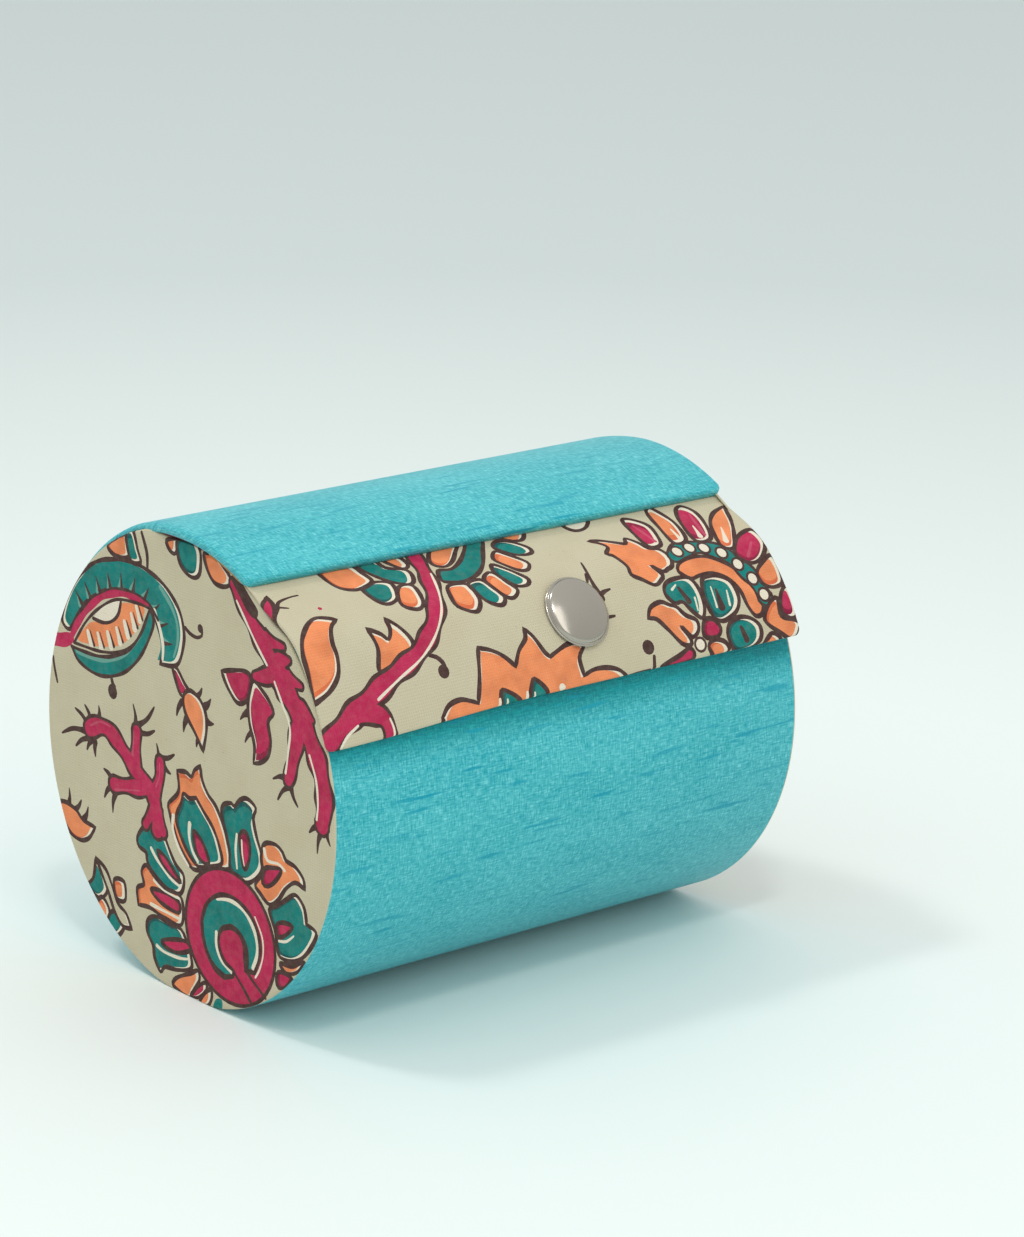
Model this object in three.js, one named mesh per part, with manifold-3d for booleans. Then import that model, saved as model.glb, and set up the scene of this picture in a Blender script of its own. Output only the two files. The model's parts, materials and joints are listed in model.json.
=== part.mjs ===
// A drum-shaped bangle box of cloth-covered card, lying on its side.
// Millimetres. X runs along the drum, -Y is the front with the flap, +Z is up, and z = 0 is the flat base.
// Angles are degrees round the drum's axis: 0 at the front, 90 at the top, 180 at the back, -90 at the base.

import * as THREE from 'three';
import { mergeVertices } from 'three/addons/utils/BufferGeometryUtils.js';
import Module from 'manifold-3d';

const wasm = await Module();
wasm.setup();

// Driving sizes: the drum
const drumRadius = 48.5;
const drumLength = 120;
const baseWidth = 18;
const bodyFrontAngle = 44;
const bodyBackAngle = -179;

// Driving sizes: the layers of card and cloth
const silkThickness = 0.35;
const printThickness = 0.3;
const shellBoard = 1.0;
const bodyLining = 0.4;
const endBoard = 2.0;
const endLining = 0.4;
const lidLining = 0.55;
const lidBoard = 1.4;
const flapLining = 0.2;
const flapBoard = 0.4;

// Driving sizes: the lid and its cloth hinge
const lidFrontAngle = 61.5;
const lidBackAngle = 178.5;
const lidOverhang = 0.9;
const lidCorner = 3;
const hingeReach = 3.6;
const hingeSlack = 0.17;

// Driving sizes: the flap
const flapEdgeAngle = 20;
const flapLevelAngle = 41;
const flapBoardTopAngle = 53.5;
const flapOverhang = 0.7;
const flapCorner = 1.5;
const flapStandOff = 1.35;
const tongueReach = 16;

// Driving sizes: the press stud
const snapAngle = 36.4;
const snapX = 6;
const capRadius = 7.5;
const capHeight = 2.5;
const capWall = 0.5;
const barrelRadius = 3.7;
const socketRadius = 4.6;
const socketPlate = 0.3;
const studBaseRadius = 5;
const studBase = 0.3;
const studHeadRadius = 2.8;
const studHeadHeight = 2.4;
const postRadius = 1.8;
const postFlangeRadius = 4.5;
const postFlange = 0.5;

// Driving sizes: the bangle rod and its saddles
const rodRise = 5.5;
const rodRadius = 20.8;
const rodShoulder = 3;
const velvetThickness = 0.7;
const foamThickness = 4;
const tubeWall = 2;
const pegRadius = 7;
const pegFlangeRadius = 18;
const pegFlange = 1.1;
const spigotLength = 8;
const saddleThickness = 3.5;
const saddleArm = 7.7;
const saddleTop = 5;

// Clearances
const glueLine = 0.1;
const endRecess = 0.2;
const discGap = 0.15;
const runningGap = 0.3;
const pressGap = 0.2;
const foldGap = 0.35;

// Facets: a station closer to an end than this share of a step is left out
const turnStep = 5;
const leastStepShare = 0.3;
const cornerSteps = 4;
const domeSteps = 6;
const turnedSides = 40;
const snapSides = 32;
const holeSides = 24;
const weldDistance = 1e-4;
const sameAngle = 1e-6;

// Sizes that follow from the drum and its layers
const axisHeight = Math.sqrt(drumRadius ** 2 - (baseWidth / 2) ** 2);
const baseHalfAngle = degrees(Math.asin(baseWidth / 2 / drumRadius));
const halfLength = drumLength / 2;
const boardOuter = drumRadius - silkThickness - glueLine;
const boardInner = boardOuter - shellBoard;
const discRadius = boardInner - discGap;
const lidInner = discRadius + runningGap;
const lidBoardInner = lidInner + lidLining + glueLine;
const lidBoardOuter = lidBoardInner + lidBoard;
const lidOuter = lidBoardOuter + glueLine + silkThickness;
const lidHalf = halfLength + lidOverhang;
const silkTurn = silkThickness + glueLine;
const printTurn = printThickness + glueLine;

const endFace = halfLength - endRecess;
const endBoardOuter = endFace - printTurn;
const endBoardInner = endBoardOuter - endBoard;
const endLiningInner = endBoardInner - glueLine - endLining;

// Sizes of the flap: its layers are stacked inwards from its printed face
const flapThickness = flapLining + glueLine + flapBoard + glueLine + printThickness;
const flapFace = drumRadius + flapStandOff + flapThickness;
const flapHalf = halfLength + flapOverhang;
const flapRoot = lidInner + lidLining / 2;
const foldAngle = lidFrontAngle - arcAngle(foldGap, flapRoot);
const flapTopAngle = foldAngle - arcAngle(foldGap, flapRoot);
const tongueFront = lidFrontAngle + arcAngle(glueLine, flapRoot);
const tongueBack = lidFrontAngle + arcAngle(tongueReach, flapRoot);

// Heights of the press stud's pieces, measured from the drum's axis
const flapInner = flapFace - flapThickness;
const bodyLiningInner = boardInner - glueLine - bodyLining;
const studSeat = drumRadius + glueLine;
const studShoulder = studSeat + studBase;
const studTop = studShoulder + studHeadHeight;
const socketTop = flapSeat(socketRadius) - pressGap;
const barrelFoot = socketTop - socketPlate;
const barrelBore = studHeadRadius + runningGap;
const capSeat = flapFace + pressGap;
const capTop = capSeat + capHeight;
const postSeat = onCurve(bodyLiningInner, postFlangeRadius) - glueLine;
const postTop = studTop - studHeadHeight / 2;
const postHole = postRadius + runningGap;
const barrelHole = barrelRadius + runningGap;

// Sizes of the rod, from the room between the end linings
const rodHeight = axisHeight + rodRise;
const saddleOuter = endLiningInner - glueLine;
const saddleInner = saddleOuter - saddleThickness;
const saddleBore = pegRadius + runningGap;
const pegEnd = endLiningInner - runningGap;
const flangeOuter = saddleInner - runningGap;
const flangeInner = flangeOuter - pegFlange;
const rodHalf = flangeInner - pressGap;
const foamOuter = rodRadius - velvetThickness - glueLine;
const tubeOuter = foamOuter - foamThickness;
const tubeInner = tubeOuter - glueLine - tubeWall;
const fillHalf = rodHalf - velvetThickness - glueLine;
const spigotRadius = tubeInner - runningGap;

// Finishes
const turquoiseSilk = finish(0x4bafb6, 0.55);
const floralCotton = finish(0xd9d0b4, 0.85);
const greyCard = finish(0x8d7a5f, 0.9);
const maroonVelvet = finish(0x7a1f3a, 0.95);
const nickel = finish(0xc9c9c6, 0.25, 1);
const paleFoam = finish(0xe9e2cf, 0.95);
const turnedWood = finish(0xb98d5c, 0.6);

function finish(color, roughness, metalness = 0) {
  return new THREE.MeshStandardMaterial({ color, roughness, metalness });
}

function degrees(radians) {
  return (radians * 180) / Math.PI;
}

function radians(angle) {
  return (angle * Math.PI) / 180;
}

// The angle that an arc of this length takes at this radius.
function arcAngle(length, radius) {
  return degrees(length / radius);
}

// How high a chord of this half width sits in a curve of this radius.
function onCurve(radius, halfWidth) {
  return Math.sqrt(radius ** 2 - halfWidth ** 2);
}

function smooth(t) {
  const s = THREE.MathUtils.clamp(t, 0, 1);
  return s * s * (3 - 2 * s);
}

function part(name, geometry, material) {
  geometry.computeVertexNormals();
  const mesh = new THREE.Mesh(geometry, material);
  mesh.name = name;
  return mesh;
}

// A point (y, z) at an angle and radius. Every layer keeps the flat base, at its own depth.
function wallPoint(angle, radius) {
  const fromBase = angle + 90;
  if (Math.abs(fromBase) < baseHalfAngle + sameAngle) {
    const depth = drumRadius - radius;
    const corner = onCurve(radius, axisHeight - depth);
    return [-Math.sign(fromBase) * corner, depth];
  }
  return [-radius * Math.cos(radians(angle)), axisHeight + radius * Math.sin(radians(angle))];
}

// The facet angles strictly between two ends, in rising order, with only the corners of the flat base.
function stepsBetween(low, high) {
  const margin = turnStep * leastStepShare;
  const angles = [];
  for (let k = Math.ceil(low / turnStep); k * turnStep < high; k++) {
    const angle = k * turnStep;
    const inside = angle > low + margin && angle < high - margin;
    if (inside && Math.abs(angle + 90) > baseHalfAngle + margin) angles.push(angle);
  }
  if (low < -90 && high > -90) angles.push(-90 - baseHalfAngle, -90 + baseHalfAngle);
  return angles.sort((a, b) => a - b);
}

// Stations of a panel with square corners.
function squareStations(low, high, half) {
  return [low, ...stepsBetween(low, high), high].map((angle) => ({ angle, half }));
}

// Stations of a panel whose free edge has rounded corners, from that edge to its far end.
function roundedStations(edge, end, half, corner) {
  const turn = Math.sign(end - edge);
  const stations = [];
  for (let i = 0; i <= cornerSteps; i++) {
    const t = (Math.PI / 2) * (i / cornerSteps);
    const along = arcAngle(corner * (1 - Math.cos(t)), drumRadius);
    stations.push({ angle: edge + turn * along, half: half - corner * (1 - Math.sin(t)) });
  }
  const start = stations.at(-1).angle;
  const between = stepsBetween(Math.min(start, end), Math.max(start, end));
  for (const angle of between) stations.push({ angle, half });
  stations.push({ angle: end, half });
  return stations.sort((a, b) => a.angle - b.angle);
}

// A curved panel: a rectangle of card or cloth, carried round the drum through its stations.
// The radii are numbers, or functions of the angle.
function panel(stations, inner, outer) {
  const radiusAt = (radius, angle) => (typeof radius === 'function' ? radius(angle) : radius);
  const positions = [];
  const index = [];
  for (const { angle, half } of stations) {
    const [yOut, zOut] = wallPoint(angle, radiusAt(outer, angle));
    const [yIn, zIn] = wallPoint(angle, radiusAt(inner, angle));
    positions.push(-half, yOut, zOut, half, yOut, zOut, half, yIn, zIn, -half, yIn, zIn);
  }
  for (let i = 0; i < stations.length - 1; i++) {
    for (let j = 0; j < 4; j++) {
      const a = 4 * i + j;
      const b = 4 * i + ((j + 1) % 4);
      index.push(a, b, b + 4, a, b + 4, a + 4);
    }
  }
  const last = 4 * (stations.length - 1);
  index.push(0, 2, 1, 0, 3, 2);
  index.push(last, last + 1, last + 2, last, last + 2, last + 3);
  const geometry = new THREE.BufferGeometry();
  geometry.setAttribute('position', new THREE.Float32BufferAttribute(positions, 3));
  geometry.setIndex(index);
  return geometry;
}

// A flat shape in the (y, z) plane, given thickness between two x values.
function prism(shape, low, high) {
  const geometry = new THREE.ExtrudeGeometry(shape, { depth: high - low, bevelEnabled: false });
  const alongX = new THREE.Matrix4().makeBasis(
    new THREE.Vector3(0, 1, 0),
    new THREE.Vector3(0, 0, 1),
    new THREE.Vector3(1, 0, 0),
  );
  geometry.applyMatrix4(alongX);
  geometry.translate(low, 0, 0);
  return geometry;
}

// The drum's round outline at a radius, with its flat base.
function discShape(radius) {
  const angles = [...stepsBetween(-180, 180), 180];
  return new THREE.Shape(angles.map((angle) => new THREE.Vector2(...wallPoint(angle, radius))));
}

// A turned piece about the Y axis. The profile's (radius, height) points go up its outside.
function turned(profile, sides) {
  const points = profile.map(([radius, height]) => new THREE.Vector2(radius, height));
  return new THREE.LatheGeometry(points, sides);
}

// A quarter round in (radius, height), from its widest point at the foot to its top.
function dome(radius, top, foot) {
  const points = [];
  for (let i = 0; i <= domeSteps; i++) {
    const t = (Math.PI / 2) * (i / domeSteps);
    points.push([radius * Math.cos(t), foot + (top - foot) * Math.sin(t)]);
  }
  return points;
}

function toSolid(geometry) {
  const bare = geometry.clone();
  bare.deleteAttribute('normal');
  bare.deleteAttribute('uv');
  const merged = mergeVertices(bare, weldDistance);
  const vertProperties = merged.attributes.position.array;
  const triVerts = new Uint32Array(merged.index.array);
  return new wasm.Manifold(new wasm.Mesh({ numProp: 3, vertProperties, triVerts }));
}

function cut(geometry, ...cutters) {
  let solid = toSolid(geometry);
  for (const cutter of cutters) solid = solid.subtract(toSolid(cutter));
  const { vertProperties, triVerts } = solid.getMesh();
  const result = new THREE.BufferGeometry();
  result.setAttribute('position', new THREE.BufferAttribute(vertProperties, 3));
  result.setIndex(new THREE.BufferAttribute(triVerts, 1));
  return result;
}

// The press stud's own frame: its Y axis leaves the drum's axis through the middle of the cap.
const snapFrame = new THREE.Matrix4()
  .makeRotationX(Math.PI - radians(snapAngle))
  .setPosition(snapX, 0, axisHeight);

// A round cutter on the press stud's axis, through a wall between two radii.
function snapHole(radius, low, high) {
  const hole = new THREE.CylinderGeometry(radius, radius, high - low, holeSides);
  hole.translate(0, (low + high) / 2, 0);
  return hole.applyMatrix4(snapFrame);
}

// How far a cutter runs past the faces that it cuts.
const cutPast = 2;

// The body: a curved wall of card, its silk outside and its lining inside
function body() {
  const group = new THREE.Group();
  const postCut = snapHole(postHole, bodyLiningInner - cutPast, drumRadius + cutPast);
  const hingeEdge = bodyBackAngle + arcAngle(hingeReach, drumRadius) + arcAngle(runningGap, drumRadius);

  const boardFront = bodyFrontAngle - arcAngle(silkTurn, drumRadius);
  const boardStations = squareStations(bodyBackAngle, boardFront, halfLength - silkTurn);
  const board = panel(boardStations, boardInner, boardOuter);
  group.add(part('body_shell_board', cut(board, postCut), greyCard));

  const silkBlock = panel(squareStations(hingeEdge, bodyFrontAngle, halfLength), boardInner, drumRadius);
  const coreFront = bodyFrontAngle - arcAngle(silkThickness, drumRadius);
  const coreBack = hingeEdge - arcAngle(cutPast, drumRadius);
  const coreStations = squareStations(coreBack, coreFront, halfLength - silkThickness);
  const core = panel(coreStations, boardInner - cutPast, drumRadius - silkThickness);
  group.add(part('body_silk', cut(silkBlock, core, postCut), turquoiseSilk));

  const liningHalf = endLiningInner - glueLine;
  const liningStations = squareStations(bodyBackAngle, boardFront, liningHalf);
  const lining = panel(liningStations, bodyLiningInner, boardInner - glueLine);
  group.add(part('body_lining', cut(lining, postCut), maroonVelvet));
  return group;
}

// One end: a card disc, its print turned over the rim, and its lining
function end(side, sign) {
  const group = new THREE.Group();
  const span = (a, b) => [Math.min(sign * a, sign * b), Math.max(sign * a, sign * b)];

  const board = prism(discShape(discRadius - printTurn), ...span(endBoardInner, endBoardOuter));
  group.add(part(`end_board_${side}`, board, greyCard));

  const cup = prism(discShape(discRadius), ...span(endBoardInner, endFace));
  const hollowSpan = span(endBoardInner - cutPast, endFace - printThickness);
  const hollow = prism(discShape(discRadius - printThickness), ...hollowSpan);
  group.add(part(`end_print_${side}`, cut(cup, hollow), floralCotton));

  const liningSpan = span(endLiningInner, endBoardInner - glueLine);
  const lining = prism(discShape(bodyLiningInner - discGap), ...liningSpan);
  group.add(part(`end_lining_${side}`, lining, maroonVelvet));

  const saddle = prism(saddleShape(), ...span(saddleInner, saddleOuter));
  group.add(part(`rod_saddle_${side}`, saddle, greyCard));
  return group;
}

// A half-round seat with a slot that is open at the top
function saddleShape() {
  const reach = saddleBore + saddleArm;
  const top = rodHeight + saddleTop;
  const shape = new THREE.Shape();
  shape.moveTo(-reach, top);
  shape.lineTo(-reach, rodHeight);
  shape.absarc(0, rodHeight, reach, Math.PI, 2 * Math.PI, false);
  shape.lineTo(reach, top);
  shape.lineTo(saddleBore, top);
  shape.lineTo(saddleBore, rodHeight);
  shape.absarc(0, rodHeight, saddleBore, 2 * Math.PI, Math.PI, true);
  shape.lineTo(-saddleBore, top);
  return shape;
}

// The lid: curved card with silk turned over its edges, its lining, and the tongue that carries the flap
function lid() {
  const group = new THREE.Group();
  const boardFront = lidFrontAngle + arcAngle(silkTurn, drumRadius);
  const boardHalf = lidHalf - silkTurn;
  const boardStations = roundedStations(boardFront, lidBackAngle, boardHalf, lidCorner - silkTurn);
  group.add(part('lid_board', panel(boardStations, lidBoardInner, lidBoardOuter), greyCard));

  const silkBack = lidBackAngle - arcAngle(hingeReach + runningGap, drumRadius);
  const blockStations = roundedStations(lidFrontAngle, silkBack, lidHalf, lidCorner);
  const block = panel(blockStations, lidBoardInner, lidOuter);
  const coreFront = lidFrontAngle + arcAngle(silkThickness, drumRadius);
  const coreBack = silkBack + arcAngle(cutPast, drumRadius);
  const coreHalf = lidHalf - silkThickness;
  const coreStations = roundedStations(coreFront, coreBack, coreHalf, lidCorner - silkThickness);
  const core = panel(coreStations, lidBoardInner - cutPast, lidOuter - silkThickness);
  group.add(part('lid_silk', cut(block, core), turquoiseSilk));

  const layerOuter = lidBoardInner - glueLine;
  const liningFront = tongueBack + arcAngle(runningGap, flapRoot);
  const liningStations = squareStations(liningFront, lidBackAngle, halfLength);
  group.add(part('lid_lining', panel(liningStations, lidInner, layerOuter), maroonVelvet));

  const tongueStations = squareStations(tongueFront, tongueBack, halfLength);
  group.add(part('flap_tongue', panel(tongueStations, lidInner, layerOuter), floralCotton));
  return group;
}

// The strip of silk that joins the lid to the body along the back, with a step down from the lid
function hingeCloth() {
  const reach = arcAngle(hingeReach, drumRadius);
  const slack = arcAngle(hingeSlack, drumRadius);
  const back = 360 + bodyBackAngle;
  const stations = [lidBackAngle - reach, lidBackAngle - slack, back + slack, back + reach];
  const face = (angle) => (angle < lidBackAngle ? lidOuter : drumRadius);
  const inside = (angle) => face(angle) - silkThickness;
  const rings = stations.map((angle) => ({ angle, half: halfLength - silkThickness }));
  return part('hinge_cloth', panel(rings, inside, face), turquoiseSilk);
}

// The printed face of the flap: it leaves the lid's front edge and rises to stand off the front wall.
function flapFaceAt(angle) {
  const rise = smooth((flapTopAngle - angle) / (flapTopAngle - flapLevelAngle));
  const root = flapRoot + printThickness / 2;
  return root + (flapFace - root) * rise;
}

// How far from the drum's axis a round piece of this radius meets the back of the flap.
function flapSeat(radius) {
  const reach = arcAngle(radius, flapInner);
  return (flapFaceAt(snapAngle + reach) - flapThickness) * Math.cos(radians(reach));
}

// The flap: a thin stiffener with print turned over three edges, and its lining
function flap() {
  const group = new THREE.Group();
  const barrelCut = snapHole(barrelHole, flapInner - cutPast, flapFace + cutPast);
  const under = (depth) => (angle) => flapFaceAt(angle) - depth;
  const boardEdge = flapEdgeAngle + arcAngle(printTurn, drumRadius);
  const boardHalf = flapHalf - printTurn;
  const boardCorner = flapCorner - printTurn;
  const boardDepth = printThickness + glueLine;
  const liningDepth = boardDepth + flapBoard + glueLine;

  const boardStations = roundedStations(boardEdge, flapBoardTopAngle, boardHalf, boardCorner);
  const board = panel(boardStations, under(boardDepth + flapBoard), under(boardDepth));
  group.add(part('flap_board', cut(board, barrelCut), greyCard));

  const lining = panel(boardStations, under(flapThickness), under(liningDepth));
  group.add(part('flap_lining', cut(lining, barrelCut), maroonVelvet));

  const blockStations = roundedStations(flapEdgeAngle, flapTopAngle, flapHalf, flapCorner);
  const block = panel(blockStations, under(flapThickness), flapFaceAt);
  const coreEdge = flapEdgeAngle + arcAngle(printThickness, drumRadius);
  const coreTop = flapTopAngle + arcAngle(cutPast, drumRadius);
  const coreHalf = flapHalf - printThickness;
  const coreStations = roundedStations(coreEdge, coreTop, coreHalf, flapCorner - printThickness);
  const core = panel(coreStations, under(flapThickness + cutPast), under(printThickness));
  group.add(part('flap_print', cut(block, core, barrelCut), floralCotton));
  return group;
}

// The press stud: cap and socket on the flap, stud and post on the front wall
function pressStud() {
  const group = new THREE.Group();
  group.applyMatrix4(snapFrame);

  const capInside = capTop - capWall;
  const innerDome = dome(capRadius - capWall, capInside, capSeat + capWall)
    .reverse()
    .filter(([radius]) => radius > barrelRadius + capWall);
  const capProfile = [
    [0, capInside - capWall],
    [barrelBore, capInside - capWall],
    [barrelBore, barrelFoot],
    [barrelRadius, barrelFoot],
    [barrelRadius, innerDome[0][1]],
    ...innerDome,
    [capRadius - capWall, capSeat],
    [capRadius, capSeat],
    ...dome(capRadius, capTop, capSeat + capWall).slice(0, -1),
    [0, capTop],
  ];
  group.add(part('snap_cap', turned(capProfile, snapSides), nickel));

  const socketBore = barrelRadius + pressGap;
  const socketProfile = [
    [socketBore, barrelFoot],
    [socketRadius, barrelFoot],
    [socketRadius, socketTop],
    [socketBore, socketTop],
    [socketBore, barrelFoot],
  ];
  group.add(part('snap_socket', turned(socketProfile, snapSides), nickel));

  const studNeck = (postHole + studHeadRadius) / 2;
  const studProfile = [
    [0, postTop + pressGap],
    [postHole, postTop + pressGap],
    [postHole, studSeat],
    [studBaseRadius, studSeat],
    [studBaseRadius, studShoulder],
    [studNeck, studShoulder],
    [studNeck, studShoulder + studHeadHeight / 3],
    [studHeadRadius, studShoulder + (studHeadHeight * 2) / 3],
    [studNeck, studTop],
    [0, studTop],
  ];
  group.add(part('snap_stud', turned(studProfile, snapSides), nickel));

  const postProfile = [
    [0, postSeat - postFlange],
    [postFlangeRadius, postSeat - postFlange],
    [postFlangeRadius, postSeat],
    [postRadius, postSeat],
    [postRadius, postTop],
    [0, postTop],
  ];
  group.add(part('snap_post', turned(postProfile, snapSides), nickel));
  return group;
}

// The outside of a padded roll in (radius, height), rounded over a shoulder at both ends.
function shouldered(radius, half, shoulder) {
  const quarter = dome(shoulder, half, half - shoulder);
  const upper = quarter.map(([across, height]) => [radius - shoulder + across, height]);
  const lower = upper.map(([across, height]) => [across, -height]).reverse();
  return [...lower, ...upper];
}

// The bangle rod: a card tube padded with foam under velvet, with a turned peg in each end
function bangleRod() {
  const group = new THREE.Group();
  group.position.set(0, 0, rodHeight);
  group.rotation.z = -Math.PI / 2;
  const sleeve = (inner, outer, half) => [
    [outer, -half],
    [outer, half],
    [inner, half],
    [inner, -half],
    [outer, -half],
  ];
  const tube = sleeve(tubeInner, tubeOuter - glueLine, fillHalf);
  group.add(part('rod_tube', turned(tube, turnedSides), greyCard));

  const foamShoulder = rodShoulder - velvetThickness;
  const foamFace = shouldered(foamOuter, fillHalf, foamShoulder);
  const foam = [[tubeOuter, -fillHalf], ...foamFace, [tubeOuter, fillHalf], [tubeOuter, -fillHalf]];
  group.add(part('rod_foam', turned(foam, turnedSides), paleFoam));

  const velvetOuter = shouldered(rodRadius, rodHalf, rodShoulder);
  const velvetInside = shouldered(rodRadius - velvetThickness, rodHalf - velvetThickness, foamShoulder);
  const velvet = [
    [tubeOuter, -rodHalf],
    ...velvetOuter,
    [tubeOuter, rodHalf],
    [tubeOuter, rodHalf - velvetThickness],
    ...velvetInside.reverse(),
    [tubeOuter, velvetThickness - rodHalf],
    [tubeOuter, -rodHalf],
  ];
  group.add(part('rod_velvet', turned(velvet, turnedSides), maroonVelvet));

  for (const [side, sign] of [['left', -1], ['right', 1]]) {
    const profile = [
      [0, flangeInner - spigotLength],
      [spigotRadius, flangeInner - spigotLength],
      [spigotRadius, flangeInner],
      [pegFlangeRadius, flangeInner],
      [pegFlangeRadius, flangeOuter],
      [pegRadius, flangeOuter],
      [pegRadius, pegEnd],
      [0, pegEnd],
    ];
    const peg = turned(profile, turnedSides);
    if (sign < 0) peg.rotateX(Math.PI);
    group.add(part(`rod_end_${side}`, peg, turnedWood));
  }
  return group;
}

const bangleBox = new THREE.Group();
bangleBox.name = 'bangle_box';
bangleBox.add(body(), end('left', -1), end('right', 1), lid(), hingeCloth());
bangleBox.add(flap(), pressStud(), bangleRod());

export default bangleBox;
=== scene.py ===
"""A drum-shaped bangle box: slub silk over card, printed cotton ends and front flap, a nickel press stud.

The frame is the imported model's, in metres: X along the drum, -Y the front with the flap, +Z up.
Angles are degrees round the drum's axis, 0 at the front, 90 at the top and 180 at the back.
The prints are drawn flat, in millimetres, and bent onto the box afterwards.
"""
import json
import math

import bmesh
import bpy
import numpy as np
from mathutils import Matrix, Vector
from mathutils.geometry import delaunay_2d_cdt


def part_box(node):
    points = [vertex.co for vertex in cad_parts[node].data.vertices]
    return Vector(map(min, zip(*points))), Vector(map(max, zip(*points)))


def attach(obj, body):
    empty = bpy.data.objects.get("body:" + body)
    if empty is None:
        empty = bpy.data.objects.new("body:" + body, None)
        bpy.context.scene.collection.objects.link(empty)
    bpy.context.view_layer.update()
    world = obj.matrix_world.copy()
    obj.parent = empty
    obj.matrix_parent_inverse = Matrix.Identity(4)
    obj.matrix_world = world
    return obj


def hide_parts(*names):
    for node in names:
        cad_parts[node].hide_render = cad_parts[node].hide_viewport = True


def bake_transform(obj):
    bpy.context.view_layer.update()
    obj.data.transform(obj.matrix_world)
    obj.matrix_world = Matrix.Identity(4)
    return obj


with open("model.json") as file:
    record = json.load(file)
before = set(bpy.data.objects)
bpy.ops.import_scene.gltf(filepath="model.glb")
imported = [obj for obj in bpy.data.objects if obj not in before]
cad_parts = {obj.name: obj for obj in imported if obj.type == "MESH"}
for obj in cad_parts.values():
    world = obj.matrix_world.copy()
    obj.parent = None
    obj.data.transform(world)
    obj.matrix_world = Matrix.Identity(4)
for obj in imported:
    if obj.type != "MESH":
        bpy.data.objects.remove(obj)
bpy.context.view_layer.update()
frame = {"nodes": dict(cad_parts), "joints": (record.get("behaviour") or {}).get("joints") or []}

MM = 0.001
SCENE = bpy.context.scene

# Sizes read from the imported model
JOINTS = {joint["name"]: joint for joint in frame["joints"]}
AXIS_HEIGHT = JOINTS["lid_hinge"]["pos_m"][2]
DRUM_RADIUS = -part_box("body_silk")[0].y
HALF_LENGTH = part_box("body_silk")[1].x
LID_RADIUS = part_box("lid_silk")[1].z - AXIS_HEIGHT
LID_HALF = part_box("lid_silk")[1].x
DISC_RADIUS = -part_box("end_print_left")[0].y
FLAP_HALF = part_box("flap_print")[1].x
HINGE_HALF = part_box("hinge_cloth")[1].x
ROD_LOW, ROD_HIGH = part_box("rod_velvet")
PEG_LOW, PEG_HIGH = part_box("rod_end_right")

# Angles of the covered pieces
WALL_FRONT = 44
WALL_BACK = -174.4
LID_FRONT = 61.5
LID_BACK = 173.9
HINGE_TOP = 174.0
HINGE_FOOT = 185.5
HINGE_BEND = (178.3, 181.2)
FLAP_EDGE = 20
FLAP_LEVEL = 41
FLAP_FACE = -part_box("flap_print")[0].y / math.cos(math.radians(FLAP_EDGE))
FLAP_ROOT = 47.7 * MM

# Cloth
SILK = 0.3 * MM
COTTON = 0.25 * MM
LINING = 0.35 * MM
SLICE = 1.3 * MM
BASE_SOFTNESS = 0.3 * MM
LID_OVERHANG = 0.3 * MM
LID_TAPER = 2.5 * MM
LID_NARROWS = (88, 118)
LID_SLANT = 0.9 * MM
LID_SLANT_DEPTH = 12 * MM
LID_SLANT_SPAN = (50 * MM, -10 * MM)
WALL_TURN_DOWN = 1.45 * MM
WALL_ROUND = 0.5 * MM
LID_TURN_DOWN = 1.85 * MM
LID_ROUND = 0.8 * MM
LID_CORNER = 1.8 * MM
HINGE_INSET = 1.2 * MM

# Painted shade on the silk just below the flap's edge, in millimetres up the wall from mid-height: where it
# fades in and out
FLAP_SHADE_BAND = (9.5, 14.5, 38.0, 42.0)
SMOOTH_ANGLE = math.radians(40)
MERGE = 1e-6


def rise(value, start, end):
    """An even rise from 0 at the start to 1 at the end, also where the end lies below the start."""
    t = np.clip((value - start) / (end - start), 0, 1)
    return t * t * (3 - 2 * t)


def flattened(height, floor):
    """A height kept above a floor level, turning into it softly, as the wall does at its base."""
    over = height - floor
    return floor + (over + np.hypot(over, BASE_SOFTNESS)) / 2


def on_drum(x, angle, radius):
    """Points at these angles on a drum of this radius, flattened along its base like the box."""
    turn = np.radians(angle)
    height = flattened(AXIS_HEIGHT + radius * np.sin(turn), DRUM_RADIUS - radius)
    return np.stack(np.broadcast_arrays(x, -radius * np.cos(turn), height), -1)


# Materials


def node(tree, kind, inputs=None, **settings):
    """A shader node with its settings, and with its inputs linked or set."""
    made = tree.nodes.new(kind)
    for key, value in settings.items():
        setattr(made, key, value)
    for key, value in (inputs or {}).items():
        if isinstance(value, bpy.types.NodeSocket):
            tree.links.new(value, made.inputs[key])
        else:
            made.inputs[key].default_value = value
    return made


def maths(tree, operation, first, second=0.0, third=0.0):
    """A math node's result."""
    return node(tree, "ShaderNodeMath", {0: first, 1: second, 2: third}, operation=operation).outputs[0]


def blended(tree, share, first, second, blend="MIX"):
    """Two colours mixed by a share."""
    made = node(
        tree,
        "ShaderNodeMix",
        {0: share, 6: first, 7: second},
        data_type="RGBA",
        blend_type=blend,
    )
    return made.outputs[2]


def ranged(tree, value, low, high, to_low=0.0, to_high=1.0):
    """A value moved from one range to another, and kept in it."""
    inputs = {"Value": value, "From Min": low, "From Max": high, "To Min": to_low, "To Max": to_high}
    return node(tree, "ShaderNodeMapRange", inputs).outputs[0]


def noise(tree, vector, scale, detail=2.0, roughness=0.5):
    """A soft noise value."""
    inputs = {"Vector": vector, "Scale": scale, "Detail": detail, "Roughness": roughness}
    return node(tree, "ShaderNodeTexNoise", inputs).outputs[0]


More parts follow.
